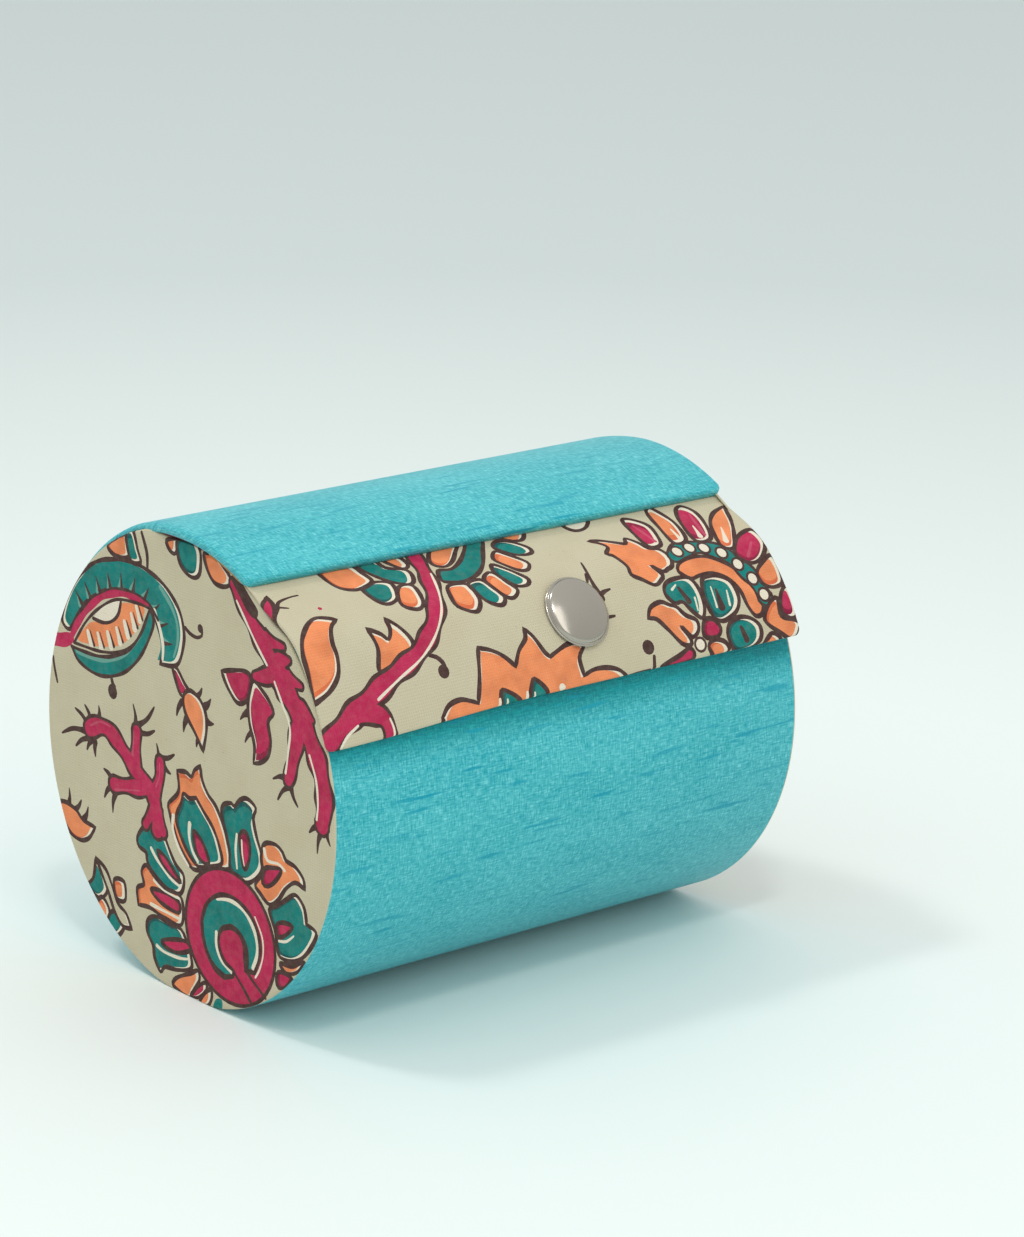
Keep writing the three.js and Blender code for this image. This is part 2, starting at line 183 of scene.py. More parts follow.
def stretched(tree, vector, across, along):
    """A vector scaled by its own share along each of its two axes."""
    inputs = {0: vector, 1: (across, along, 1.0)}
    return node(tree, "ShaderNodeVectorMath", inputs, operation="MULTIPLY").outputs[0]


def new_group(name, inputs, outputs):
    """An empty shader node group with its sockets, and its two ends."""
    tree = bpy.data.node_groups.new(name, "ShaderNodeTree")
    for label, kind in inputs.items():
        tree.interface.new_socket(label, in_out="INPUT", socket_type=kind)
    for label, kind in outputs.items():
        tree.interface.new_socket(label, in_out="OUTPUT", socket_type=kind)
    return tree, tree.nodes.new("NodeGroupInput"), tree.nodes.new("NodeGroupOutput")


def weave_group():
    """A plain weave's threads as a height from 0 to 1, on cloth coordinates in millimetres."""
    sockets = {"Cloth": "NodeSocketVector", "Pitch": "NodeSocketFloat"}
    tree, start, end = new_group("weave", sockets, {"Height": "NodeSocketFloat"})
    wobble = noise(tree, start.outputs["Cloth"], 0.8, 2.0)
    shifted = node(
        tree,
        "ShaderNodeVectorMath",
        {0: start.outputs["Cloth"], 1: maths(tree, "MULTIPLY", wobble, 0.35)},
        operation="ADD",
    )
    parts = node(tree, "ShaderNodeSeparateXYZ", {0: shifted.outputs[0]})
    waves = []
    for axis in range(2):
        turns = maths(tree, "DIVIDE", parts.outputs[axis], start.outputs["Pitch"])
        waves.append(maths(tree, "SINE", maths(tree, "MULTIPLY", turns, math.tau)))
    tree.links.new(ranged(tree, maths(tree, "ADD", waves[0], waves[1]), -2.0, 2.0), end.inputs["Height"])
    return tree


def slub_group():
    """Raw silk's uneven threads: a mask of thick streaks, and the fine grain of both threads."""
    outputs = {"Mask": "NodeSocketFloat", "Grain": "NodeSocketFloat"}
    tree, start, end = new_group("slubs", {"Cloth": "NodeSocketVector"}, outputs)
    cloth = start.outputs["Cloth"]
    long_ones = noise(tree, stretched(tree, cloth, 0.06, 0.62), 1.0, 1.0, 0.5)
    fine_ones = noise(tree, stretched(tree, cloth, 0.2, 2.2), 1.0, 1.0, 0.5)
    cross_ones = noise(tree, stretched(tree, cloth, 2.0, 0.16), 1.0, 1.0, 0.5)
    where = ranged(tree, noise(tree, stretched(tree, cloth, 0.03, 0.06), 1.0, 2.0), 0.4, 0.62, 0.4, 1.0)
    streaks = ranged(tree, long_ones, 0.62, 0.69)
    dashes = ranged(tree, fine_ones, 0.58, 0.74, 0.0, 0.6)
    crosses = ranged(tree, cross_ones, 0.6, 0.76, 0.0, 0.4)
    most = maths(tree, "MAXIMUM", maths(tree, "MAXIMUM", streaks, dashes), crosses)
    tree.links.new(maths(tree, "MULTIPLY", most, where), end.inputs["Mask"])
    along = noise(tree, stretched(tree, cloth, 0.5, 3.0), 1.0, 2.0, 0.6)
    across = noise(tree, stretched(tree, cloth, 3.0, 0.55), 1.0, 2.0, 0.6)
    both = maths(tree, "ADD", along, across)
    tree.links.new(ranged(tree, both, 0.72, 1.28), end.inputs["Grain"])
    return tree


WEAVE = weave_group()
SLUBS = slub_group()


def linear(red, green, blue):
    """A screen colour of 0 to 255 as linear light, with full cover."""
    channels = [channel / 255 for channel in (red, green, blue)]
    bent = [c / 12.92 if c <= 0.04045 else ((c + 0.055) / 1.055) ** 2.4 for c in channels]
    return (*bent, 1.0)


def new_material(name):
    """An empty material with its Principled shader already linked to the output."""
    material = bpy.data.materials.new(name)
    material.use_nodes = True
    tree = material.node_tree
    tree.nodes.clear()
    shader = tree.nodes.new("ShaderNodeBsdfPrincipled")
    output = tree.nodes.new("ShaderNodeOutputMaterial")
    tree.links.new(shader.outputs[0], output.inputs[0])
    return material, tree, shader


def bumped(tree, height, strength, distance=0.1 * MM):
    """A normal raised by a height."""
    inputs = {"Height": height, "Strength": strength, "Distance": distance}
    return node(tree, "ShaderNodeBump", inputs).outputs[0]


def woven(tree, cloth, pitch):
    """The height of a plain weave."""
    return node(tree, "ShaderNodeGroup", {"Cloth": cloth, "Pitch": pitch}, node_tree=WEAVE).outputs[0]


def silk_material():
    """Raw silk: a fine grain of threads with painted glints, thicker, deeper ones running along the drum, and
    a painted shade band just below the flap's edge.
    """
    material, tree, shader = new_material("turquoise_silk")
    cloth = node(tree, "ShaderNodeUVMap", uv_map="cloth").outputs[0]
    slubs = node(tree, "ShaderNodeGroup", {"Cloth": cloth}, node_tree=SLUBS)
    mask, grain = slubs.outputs["Mask"], slubs.outputs["Grain"]
    pale, deep = linear(99, 204, 210), linear(0, 155, 168)
    cloudy = noise(tree, stretched(tree, cloth, 0.04, 0.1), 1.0, 3.0)
    soft = ranged(tree, cloudy, 0.3, 0.7, 0.0, 0.25)
    share = maths(tree, "ADD", ranged(tree, grain, 0.1, 0.8, 0.75, 0.0), soft)
    base = blended(tree, share, pale, deep)
    # Painted shade: a deeper, bluer band on the wall just below the flap's edge, where the flap shades it
    along = node(tree, "ShaderNodeSeparateXYZ", {0: cloth}).outputs["Y"]
    below = ranged(tree, along, FLAP_SHADE_BAND[0], FLAP_SHADE_BAND[1])
    above = ranged(tree, along, FLAP_SHADE_BAND[2], FLAP_SHADE_BAND[3], 1.0, 0.0)
    painted_flap_shade = maths(tree, "MULTIPLY", below, above)
    # Painted glints: the brightest threads lightened towards near-white, standing for the silk's sparkle
    painted_glints = blended(tree, ranged(tree, grain, 0.72, 1.0, 0.0, 0.45), base, linear(150, 226, 229))
    flap_shaded = blended(tree, painted_flap_shade, painted_glints, linear(60, 200, 198), "MULTIPLY")
    streaked = blended(tree, maths(tree, "MULTIPLY", mask, 0.95), flap_shaded, linear(0, 154, 176))
    height = maths(tree, "ADD", grain, maths(tree, "MULTIPLY", mask, 0.2))
    tree.links.new(streaked, shader.inputs["Base Color"])
    tree.links.new(bumped(tree, height, 0.6, 0.16 * MM), shader.inputs["Normal"])
    shader.inputs["Roughness"].default_value = 0.48
    shader.inputs["Specular IOR Level"].default_value = 0.22
    shader.inputs["Sheen Weight"].default_value = 0.09
    shader.inputs["Sheen Roughness"].default_value = 0.4
    return material


def cotton_material():
    """Printed cotton: inks from the mesh, pooled here and worn there, over a plain weave."""
    material, tree, shader = new_material("printed_cotton")
    cloth = node(tree, "ShaderNodeUVMap", uv_map="cloth").outputs[0]
    ink = node(tree, "ShaderNodeAttribute", attribute_name="ink").outputs["Color"]
    weave = woven(tree, cloth, 0.55)
    worn = noise(tree, cloth, 0.6, 4.0, 0.65)
    patchy = noise(tree, cloth, 0.09, 3.0)
    flecks = noise(tree, stretched(tree, cloth, 1.3, 0.9), 1.0, 2.0, 0.6)
    strength = node(tree, "ShaderNodeSeparateColor", {0: ink}, mode="HSV").outputs[1]
    pools = ranged(tree, noise(tree, cloth, 0.2, 2.0), 0.4, 0.7, 0.0, 0.3)
    pooled = maths(tree, "MULTIPLY", pools, ranged(tree, strength, 0.64, 0.8))
    dyed = blended(tree, pooled, ink, linear(160, 132, 130), "MULTIPLY")
    faded = blended(tree, ranged(tree, worn, 0.4, 0.8, 0.0, 0.07), dyed, linear(222, 205, 180))
    aged = ranged(tree, patchy, 0.35, 0.75, 0.0, 0.16)
    toned = blended(tree, aged, faded, linear(214, 190, 160), "MULTIPLY")
    flecked = blended(tree, ranged(tree, flecks, 0.68, 0.76, 0.0, 0.3), toned, linear(120, 84, 70))
    # Painted shade: the weave's hollows darkened a little
    shaded = blended(tree, ranged(tree, weave, 0.0, 0.5, 0.13, 0.0), flecked, linear(90, 70, 60))
    tree.links.new(shaded, shader.inputs["Base Color"])
    tree.links.new(bumped(tree, weave, 0.45), shader.inputs["Normal"])
    shader.inputs["Roughness"].default_value = 0.85
    shader.inputs["Specular IOR Level"].default_value = 0.2
    return material


def velvet_material():
    """Maroon velvet with a soft pile."""
    material, tree, shader = new_material("maroon_velvet")
    place = node(tree, "ShaderNodeTexCoord").outputs["Object"]
    pile = noise(tree, place, 900.0, 2.0)
    stroked = noise(tree, place, 60.0, 2.0)
    tone = blended(tree, ranged(tree, stroked, 0.3, 0.7), linear(104, 22, 44), linear(134, 34, 60))
    tree.links.new(tone, shader.inputs["Base Color"])
    tree.links.new(bumped(tree, pile, 0.4, 0.2 * MM), shader.inputs["Normal"])
    shader.inputs["Roughness"].default_value = 0.9
    shader.inputs["Sheen Weight"].default_value = 0.6
    shader.inputs["Sheen Tint"].default_value = linear(220, 130, 150)
    return material


def card_material():
    """Brown-grey millboard with fine fibres."""
    material, tree, shader = new_material("card")
    place = node(tree, "ShaderNodeTexCoord").outputs["Object"]
    fibres = noise(tree, place, 700.0, 4.0, 0.7)
    tone = blended(tree, ranged(tree, fibres, 0.3, 0.7), linear(120, 100, 78), linear(156, 136, 108))
    tree.links.new(tone, shader.inputs["Base Color"])
    tree.links.new(bumped(tree, fibres, 0.3), shader.inputs["Normal"])
    shader.inputs["Roughness"].default_value = 0.9
    return material


def nickel_material():
    """Polished nickel plate with faint handling marks."""
    material, tree, shader = new_material("nickel")
    place = node(tree, "ShaderNodeTexCoord").outputs["Object"]
    marks = noise(tree, place, 420.0, 4.0, 0.6)
    tree.links.new(ranged(tree, marks, 0.3, 0.8, 0.16, 0.24), shader.inputs["Roughness"])
    shader.inputs["Base Color"].default_value = linear(174, 167, 156)
    shader.inputs["Metallic"].default_value = 1.0
    return material


def wood_material():
    """Pale turned wood with its grain along the rod."""
    material, tree, shader = new_material("turned_wood")
    place = node(tree, "ShaderNodeTexCoord").outputs["Object"]
    long_grain = node(tree, "ShaderNodeVectorMath", {0: place, 1: (60.0, 700.0, 700.0)}, operation="MULTIPLY")
    grain = noise(tree, long_grain.outputs[0], 1.0, 4.0, 0.6)
    tone = blended(tree, ranged(tree, grain, 0.3, 0.7), linear(206, 168, 120), linear(158, 116, 74))
    tree.links.new(tone, shader.inputs["Base Color"])
    tree.links.new(bumped(tree, grain, 0.15), shader.inputs["Normal"])
    shader.inputs["Roughness"].default_value = 0.45
    return material


silk = silk_material()
cotton = cotton_material()
velvet = velvet_material()
card = card_material()
nickel = nickel_material()
wood = wood_material()


# Piece helpers


def placed(name, mesh, material, body, stands_for):
    """A finished piece: smooth, in its material, riding its body in place of its solids."""
    mesh.materials.append(material)
    mesh.shade_smooth()
    mesh.set_sharp_from_angle(angle=SMOOTH_ANGLE)
    obj = bpy.data.objects.new(name, mesh)
    SCENE.collection.objects.link(obj)
    if body:
        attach(obj, body)
    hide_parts(*stands_for)
    return obj


def from_bmesh(name, bm):
    """The mesh of a finished bmesh."""
    mesh = bpy.data.meshes.new(name)
    bm.to_mesh(mesh)
    bm.free()
    return mesh


def thickened(obj, thickness):
    """A sheet given its thickness inwards."""
    solid = obj.modifiers.new("thickness", "SOLIDIFY")
    solid.thickness = thickness
    solid.offset = -1
    return obj


# Silk covers


def flat_grid(half, low, high, across, along):
    """Flat cloth in a grid: x across, y along the drum's curve."""
    bm = bmesh.new()
    bmesh.ops.create_grid(bm, x_segments=across, y_segments=along, size=1)
    middle = Matrix.Translation((0, (low + high) / 2, 0))
    bmesh.ops.transform(bm, matrix=middle @ Matrix.Diagonal((half, (high - low) / 2, 1, 1)), verts=bm.verts)
    return bm


def rounded(bm, geom, offset, segments, affect="EDGES"):
    """Edges or corners rounded off."""
    bmesh.ops.bevel(
        bm,
        geom=geom,
        offset=offset,
        offset_type="OFFSET",
        segments=segments,
        profile=0.5,
        affect=affect,
        material=-1,
    )


def covered_tray(half, low, high, drop, rounding, corner=0.0):
    """Cloth over a flat board, with its edges turned down and its front corners rounded."""
    bm = flat_grid(half, low, high, 1, 1)
    if corner:
        front = [vert for vert in bm.verts if vert.co.y < (low + high) / 2]
        rounded(bm, front, corner, 6, "VERTICES")
    rim = [edge for edge in bm.edges if edge.is_boundary]
    turned = bmesh.ops.extrude_edge_only(bm, edges=rim)["geom"]
    foot = [item for item in turned if isinstance(item, bmesh.types.BMVert)]
    bmesh.ops.translate(bm, vec=(0, 0, -drop), verts=foot)
    shared = [edge for edge in bm.edges if len(edge.link_faces) == 2]
    upper = [edge for edge in shared if all(vert.co.z > -drop / 2 for vert in edge.verts)]
    rounded(bm, upper, rounding, 4)
    bmesh.ops.recalc_face_normals(bm, faces=bm.faces)
    if max(bm.faces, key=lambda face: face.calc_area()).normal.z < 0:
        bmesh.ops.reverse_faces(bm, faces=bm.faces)
    return bm


def sliced(bm, low, high):
    """The flat cloth cut into narrow strips, so that it can bend."""
    count = math.ceil((high - low) / SLICE)
    for step in range(1, count):
        bmesh.ops.bisect_plane(
            bm,
            geom=bm.verts[:] + bm.edges[:] + bm.faces[:],
            dist=1e-7,
            plane_co=(0, low + (high - low) * step / count, 0),
            plane_no=(0, 1, 0),
        )


def lay_cloth(bm, shift=0.0):
    """The flat cloth's own coordinates in millimetres, kept as its UV map."""
    layer = bm.loops.layers.uv.new("cloth")
    for face in bm.faces:
        for loop in face.loops:
            flat = loop.vert.co
            loop[layer].uv = ((flat.x + flat.z) / MM + shift, (flat.y + flat.z) / MM)


def full_width(angle):
    """A cloth as wide at every angle."""
    return 1.0


def bent(bm, radius_at, width_at=full_width):
    """The flat cloth rolled onto the drum, at a radius and a share of its width for each angle."""
    for vert in bm.verts:
        angle = math.degrees(vert.co.y / DRUM_RADIUS)
        vert.co = on_drum(vert.co.x * width_at(angle), angle, radius_at(angle) + vert.co.z)


def lid_width(angle):
    """The lid's share of its full width: it narrows behind its front, and sits between the end discs."""
    return 1 + (LID_OVERHANG - LID_TAPER * float(rise(angle, *LID_NARROWS))) / LID_HALF


def arc_of(angle):
    """The length along the drum's curve up to an angle."""
    return DRUM_RADIUS * math.radians(angle)


def wall_silk():
    """Silk over the fixed wall, turned over its ends and its front edge."""
    low, high = arc_of(WALL_BACK), arc_of(WALL_FRONT)
    bm = covered_tray(HALF_LENGTH, low, high, WALL_TURN_DOWN, WALL_ROUND)
    sliced(bm, low, high)
    lay_cloth(bm)
    bent(bm, lambda angle: DRUM_RADIUS)
    mesh = from_bmesh("wall_silk", bm)
    return thickened(placed("wall_silk", mesh, silk, "body", ["body_silk"]), SILK)


def lid_silk():
    """Silk over the lid, turned over its ends and its rounded front corners."""
    low, high = arc_of(LID_FRONT), arc_of(LID_BACK)
    bm = covered_tray(LID_HALF, low, high, LID_TURN_DOWN, LID_ROUND, LID_CORNER)
    sliced(bm, low, high)
    lay_cloth(bm, 37.0)
    for vert in bm.verts:
        near_front = rise(vert.co.y, low + LID_SLANT_DEPTH, low)
        towards_left = rise(vert.co.x, *LID_SLANT_SPAN)
        vert.co.y += LID_SLANT * near_front * towards_left
    bent(bm, lambda angle: LID_RADIUS, lid_width)
    mesh = from_bmesh("lid_cover", bm)
    return thickened(placed("lid_cover", mesh, silk, "lid", ["lid_silk"]), SILK)


def hinge_silk():
    """The strip of silk along the back, stepping from the wall up to the lid."""
    low, high = arc_of(HINGE_TOP), arc_of(HINGE_FOOT)
    bm = flat_grid(HINGE_HALF - HINGE_INSET, low, high, 40, 24)
    lay_cloth(bm, 80.0)
    lid_side, wall_side = HINGE_BEND
    step = LID_RADIUS - DRUM_RADIUS
    bent(bm, lambda angle: DRUM_RADIUS + step * rise(angle, wall_side, lid_side))
    obj = placed("hinge_silk", from_bmesh("hinge_silk", bm), silk, None, ["hinge_cloth"])
    start = on_drum(0, wall_side, DRUM_RADIUS)
    end = on_drum(0, lid_side, LID_RADIUS)
    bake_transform(obj)
    return thickened(obj, SILK)


wall_silk()
lid_silk()
hinge_silk()


# Prints: shapes drawn flat in millimetres, in the order in which they are inked

INKS = {
    "cream": linear(198, 190, 163),
    "pale": linear(230, 221, 201),
    "wash": linear(104, 160, 148),
    "orange": linear(241, 146, 96),
    "magenta": linear(190, 40, 86),
    "rose": linear(198, 78, 108),
    "teal": linear(2, 128, 122),
    "dark": linear(72, 50, 48),
    "raw": linear(186, 136, 82),
    "pine": linear(8, 90, 90),
    "wine": linear(146, 26, 66),
    "rust": linear(222, 112, 70),
}
SHADES = {"teal": "pine", "magenta": "wine", "orange": "rust"}
SHADE = 1.1
POINT_SPACING = 0.7
LONGEST_PULL = 1.2
SWAY = 0.14
SWAY_PITCH = 0.55
LINE = 0.95
LIMB_OUTLINE = 1.5
GAP = 1.35
THORN = (1.7, 0.45)
THORN_BOW = 0.08


def hand_line(points, closed=False):
    """The line a brush draws through a few points. A third value of 1 marks a sharp corner."""
    count = len(points)
    flat = np.array([point[:2] for point in points], float)
    sharp = [len(point) > 2 for point in points]
    pieces = []
    for index in range(count if closed else count - 1):
        a, b = flat[index], flat[(index + 1) % count]
        before = flat[index - 1] if closed or index else a
        after = flat[(index + 2) % count] if closed or index + 2 < count else b
        leave = b - a if sharp[index] else (b - before) / 2
        arrive = b - a if sharp[(index + 1) % count] else (after - a) / 2
        length = np.linalg.norm(b - a)
        leave = leave * min(1, LONGEST_PULL * length / max(np.linalg.norm(leave), 1e-9))
        arrive = arrive * min(1, LONGEST_PULL * length / max(np.linalg.norm(arrive), 1e-9))
        steps = max(2, round(length / POINT_SPACING))
        t = (np.arange(steps) / steps)[:, None]
        near = (1 + 2 * t) * (1 - t) ** 2 * a + t * (1 - t) ** 2 * leave
        far = t * t * (3 - 2 * t) * b + t * t * (t - 1) * arrive
        pieces.append(near + far)
    if not closed:
        pieces.append(flat[-1:])
    return np.concatenate(pieces)


def ribbon(line, start, end, closed=False):
    """The outline of a brush stroke along a line, from its width at the start to that at the end."""
    if closed:
        run = np.roll(line, -1, 0) - np.roll(line, 1, 0)
    else:
        run = np.gradient(line, axis=0)
    run = run / np.maximum(np.linalg.norm(run, axis=1), 1e-9)[:, None]
    side = np.stack([-run[:, 1], run[:, 0]], 1)
    share = np.linspace(0, 1, len(line))
    sway = 1 + SWAY * np.sin(share * len(line) * SWAY_PITCH + line[0, 0])
    half = ((start + (end - start) * share) / 2 * sway)[:, None]
    left, right = line + side * half, line - side * half
    if closed:
        return np.concatenate([left, left[:1], right[:1], right[::-1]])
    turn = np.linspace(0, math.pi, 7)[1:-1, None]
    far_cap = line[-1] + half[-1] * (side[-1] * np.cos(turn) + run[-1] * np.sin(turn))
    near_cap = line[0] - half[0] * (side[0] * np.cos(turn) + run[0] * np.sin(turn))
    return np.concatenate([left, far_cap, right[::-1], near_cap])


def inside(outline, points):
    """Which points lie within a closed line, by its winding round them."""
    low, high = outline.min(0), outline.max(0)
    close = np.flatnonzero(((points >= low) & (points <= high)).all(1))
    x, y = points[close].T
    winding = np.zeros(len(close), int)
    for (x0, y0), (x1, y1) in zip(outline, np.roll(outline, -1, 0)):
        side = (x1 - x0) * (y - y0) - (x - x0) * (y1 - y0)
        winding += (y0 <= y) & (y1 > y) & (side > 0)
        winding -= (y0 > y) & (y1 <= y) & (side < 0)
    found = np.zeros(len(points), bool)
    found[close[winding != 0]] = True
    return found


class Print:
    """A cloth's inked shapes, each drawn over the ones before it."""

    def __init__(self):
        self.shapes = []
        self.turn = 0.0
        self.shift = (0.0, 0.0)

    def lay(self, turn, shift):
        """Where the next motifs go: turned, and then moved."""
        self.turn = turn
        self.shift = shift

    def add(self, ink, outline):
        """One inked shape."""
        turn = math.radians(self.turn)
        spin = np.array([[math.cos(turn), math.sin(turn)], [-math.sin(turn), math.cos(turn)]])
        self.shapes.append((ink, outline @ spin + self.shift))

    def patch(self, ink, points):
        """A plain patch of ink."""
        self.add(ink, hand_line(points, closed=True))

    def stroke(self, ink, points, start=LINE, end=None):
        """A brush stroke."""
        self.add(ink, ribbon(hand_line(points), start, start if end is None else end))

    def beside(self, ink, points, aside, width):
        """A thin line that runs beside a drawn line, to its left, or to its right where aside is negative."""
        line = hand_line(points)
        run = np.gradient(line, axis=0)
        side = np.stack([-run[:, 1], run[:, 0]], 1) / np.linalg.norm(run, axis=1)[:, None]
        self.add(ink, ribbon(line + side * aside, width, width))

    def cell(self, ink, points, keep=None, gap=GAP):
        """An outlined cell whose ink is deepest along one side and leaves a pale gap on the other."""
        line = hand_line(points, closed=True)
        anchor = np.array(keep or (line[:, 0].min(), line[:, 1].mean()), float)
        reach = np.linalg.norm(line - anchor, axis=1).max()
        inked = anchor + (line - anchor) * (1 - gap / reach)
        far = inked[np.linalg.norm(inked - anchor, axis=1).argmax()]
        lighter = far + (inked - far) * (1 - SHADE / reach)
        self.add("pale", line)
        if ink in SHADES and inside(line, lighter).all():
            self.add(SHADES[ink], inked)
            self.add(ink, lighter)
        else:
            self.add(ink, inked)
        self.add("dark", ribbon(line, LINE, LINE, closed=True))

    def thorns(self, *pairs):
        """Pointed dark thorns, each from its foot to its tip."""
        for foot, tip in pairs:
            middle = ((foot[0] + tip[0]) / 2, (foot[1] + tip[1]) / 2)
            aside, along = (tip[1] - foot[1]) * THORN_BOW, (tip[0] - foot[0]) * THORN_BOW
            self.stroke("dark", [foot, (middle[0] + aside, middle[1] - along), tip], *THORN)

    def dot(self, ink, centre, radius):
        """A round spot."""
        turn = np.linspace(0, math.tau, 15)[:-1]
        self.add(ink, np.array(centre) + radius * np.stack([np.cos(turn), np.sin(turn)], 1))

    def limbs(self, ink, *runs):
        """Branching limbs with one dark outline round them all."""
        for points, start, end in runs:
            self.stroke("dark", points, start + LIMB_OUTLINE, end + LIMB_OUTLINE)
        for points, start, end in runs:
            self.stroke(ink, points, start, end)


def crescent(p):
    """A big teal crescent with an orange and cream lens in it, on a short stalk."""
    p.cell(
        "teal",
        [
            (-42.7, 21.2), (-41.7, 24.6), (-38.8, 29.2), (-34.2, 33.8), (-29.2, 36.7), (-24.2, 38.1),
            (-18.3, 39), (-12.5, 38.5), (-6.7, 36.7), (-2.1, 33.3), (-0.2, 29.6), (-0.2, 25.8),
            (-2.5, 21.2), (-8.3, 20, 1), (-7.1, 23.3), (-8.3, 26.7), (-10.4, 29.6), (-13.3, 31.7),
            (-16.7, 32.5), (-20.8, 32.5), (-25, 31.7), (-29.2, 30), (-33.3, 27.5), (-36.7, 24.2), (-40, 20),
        ],
        keep=(-22, 32),
    )
    teeth = [
        (-35.6, 26.6), (-32.6, 28.8), (-29, 30.6), (-25.2, 32), (-21.2, 32.9), (-17.2, 33), (-13.4, 32.2),
        (-10.4, 30.4), (-8.2, 27.8), (-7, 24.6),
    ]
    leans = [
        (-0.7, 0.7), (-0.6, 0.8), (-0.45, 0.9), (-0.3, 0.95), (-0.1, 1), (0.2, 0.98), (0.5, 0.86),
        (0.75, 0.66), (0.92, 0.4), (0.98, 0.15),
    ]
    for (u, v), (lean_u, lean_v) in zip(teeth, leans):
        foot = (u - 0.9 * lean_v, v + 0.9 * lean_u)
        p.stroke("wash", [foot, (u + 2.4 * lean_u, v + 2.4 * lean_v)], 1.0, 0.2)
        p.stroke("dark", [(u, v), (u + 3 * lean_u, v + 3 * lean_v)], 1.1, 0.2)
    p.stroke("wash", [(-8, 36), (-4.4, 33), (-2.3, 29.6), (-2.2, 26), (-3.6, 22.6)], 1.0, 0.6)
    p.stroke("pale", [(-10, 30.6), (-8.2, 27.4), (-7.2, 24), (-7.4, 21.2)], 1.1, 0.8)
    p.stroke("magenta", [(-47.5, 16.6), (-43, 17), (-39.6, 18.2)], 4.0, 2.2)
    p.stroke(
        "dark",
        [
            (-39, 19.6), (-36.6, 23), (-32.6, 26.9), (-27.8, 30.3), (-22, 32.3), (-17, 32.5),
            (-12, 31.7), (-8.8, 29),
        ],
        1.4,
        0.7,
    )
    p.stroke(
        "magenta",
        [(-39.5, 18.5), (-37, 22), (-33, 26), (-28, 29.5), (-22, 31.5), (-17, 31.7), (-12.4, 31.1)],
        1.7,
        1.3,
    )
    lens = [
        (-38.5, 17.5, 1), (-34, 23), (-29, 27), (-23, 30), (-17, 30.8), (-13, 30.8), (-11, 30.3),
        (-11.5, 28.5), (-14, 25), (-18, 21.5), (-23, 19), (-29, 17.8), (-35, 17.5),
    ]
    p.patch("cream", lens)
    p.patch(
        "orange",
        [
            (-37, 18.6), (-33, 22.8), (-30, 23.8), (-27, 24.1), (-24, 25.3), (-22, 27.5), (-21.3, 29.6),
            (-18, 30.3), (-13.5, 30.4), (-14.5, 27.5), (-17.5, 24), (-22, 20.8), (-28, 19), (-33, 18.4),
        ],
    )
    lashes = [(-33, 19.8), (-29.5, 20.2), (-26, 21.2), (-22.8, 22.8), (-20, 24.8), (-17.6, 27), (-15.8, 29)]
    for u, v in lashes:
        p.stroke("pale", [(u + 0.7, v - 1.6), (u - 0.5, v + 1.2)], 1.5, 0.9)
        p.stroke("dark", [(u + 1.7, v - 1.2), (u + 0.3, v + 1.6)], 0.8, 0.25)
    p.stroke("dark", [*lens, lens[0][:2]], 0.7)
    p.patch(
        "pale",
        [(-31, 24.6), (-28, 27.3), (-24, 29.3), (-21.8, 29.7), (-22.5, 27), (-25, 25), (-28, 24.2)],
    )
    p.stroke("dark", [(-31.5, 24.2), (-28, 24.1), (-25, 25), (-22.6, 27), (-21.6, 29.8)], 0.8)
    band = [
        (-39.5, 16.5, 1), (-37, 14), (-32, 12.7), (-27, 13), (-21, 15.2), (-16, 19), (-12.5, 23.5),
        (-10.3, 28), (-11.5, 30.3), (-12.5, 28.8), (-15, 24.5), (-19, 20.5), (-24, 18), (-30, 16.6),
        (-36, 16.4),
    ]
    p.patch("teal", band)
    p.stroke("wash", [(-37.5, 16), (-31, 15.8), (-25, 17), (-20, 19.5), (-16, 23.2), (-13.4, 27)], 1.1, 0.7)
    p.stroke("dark", [*band, band[0][:2]], 0.8)
    p.stroke("dark", [(-25.3, 13), (-24.9, 12), (-24.3, 11.5)], 1.0)
    p.dot("dark", (-25, 10.3), 1.6)
    p.stroke("dark", [(-46.3, 12.6), (-45.7, 10), (-44.9, 7.6)], 1.0, 0.6)


def top_petals(p):
    """Petals that the disc's upper rim cuts off."""
    p.cell(
        "orange",
        [
            (-26, 40.5), (-24.5, 42), (-21, 43.8), (-19, 44), (-18.5, 42), (-18.5, 40), (-21, 39.2),
            (-24, 39.2),
        ],
    )
    p.cell("teal", [(-19.5, 44.5), (-17, 45.5), (-15.5, 42), (-14.5, 39.5), (-18, 39.3)])
    p.stroke("dark", [(-14, 45.8), (-12.3, 42), (-12.2, 39)])
    p.cell("orange", [(-5.5, 46), (-4.5, 44.2), (-2.5, 44), (-2, 47)])
    p.cell(
        "teal",
        [(-2, 46.8), (-1.5, 43), (0.5, 41), (3, 40.3), (5, 41), (5.8, 43), (5.5, 46.5), (2, 48)],
    )
    p.cell(
        "orange",
        [(7, 46), (8, 43), (10, 41), (12.5, 40.6), (15, 41.3), (15.5, 43), (13, 45), (10, 46.2)],
    )
    p.stroke("dark", [(0.5, 29.5), (2, 28.7), (4.3, 28.4), (6, 29.2), (6, 30.4)], 0.8)
    p.dot("dark", (5.5, 30.5), 0.9)


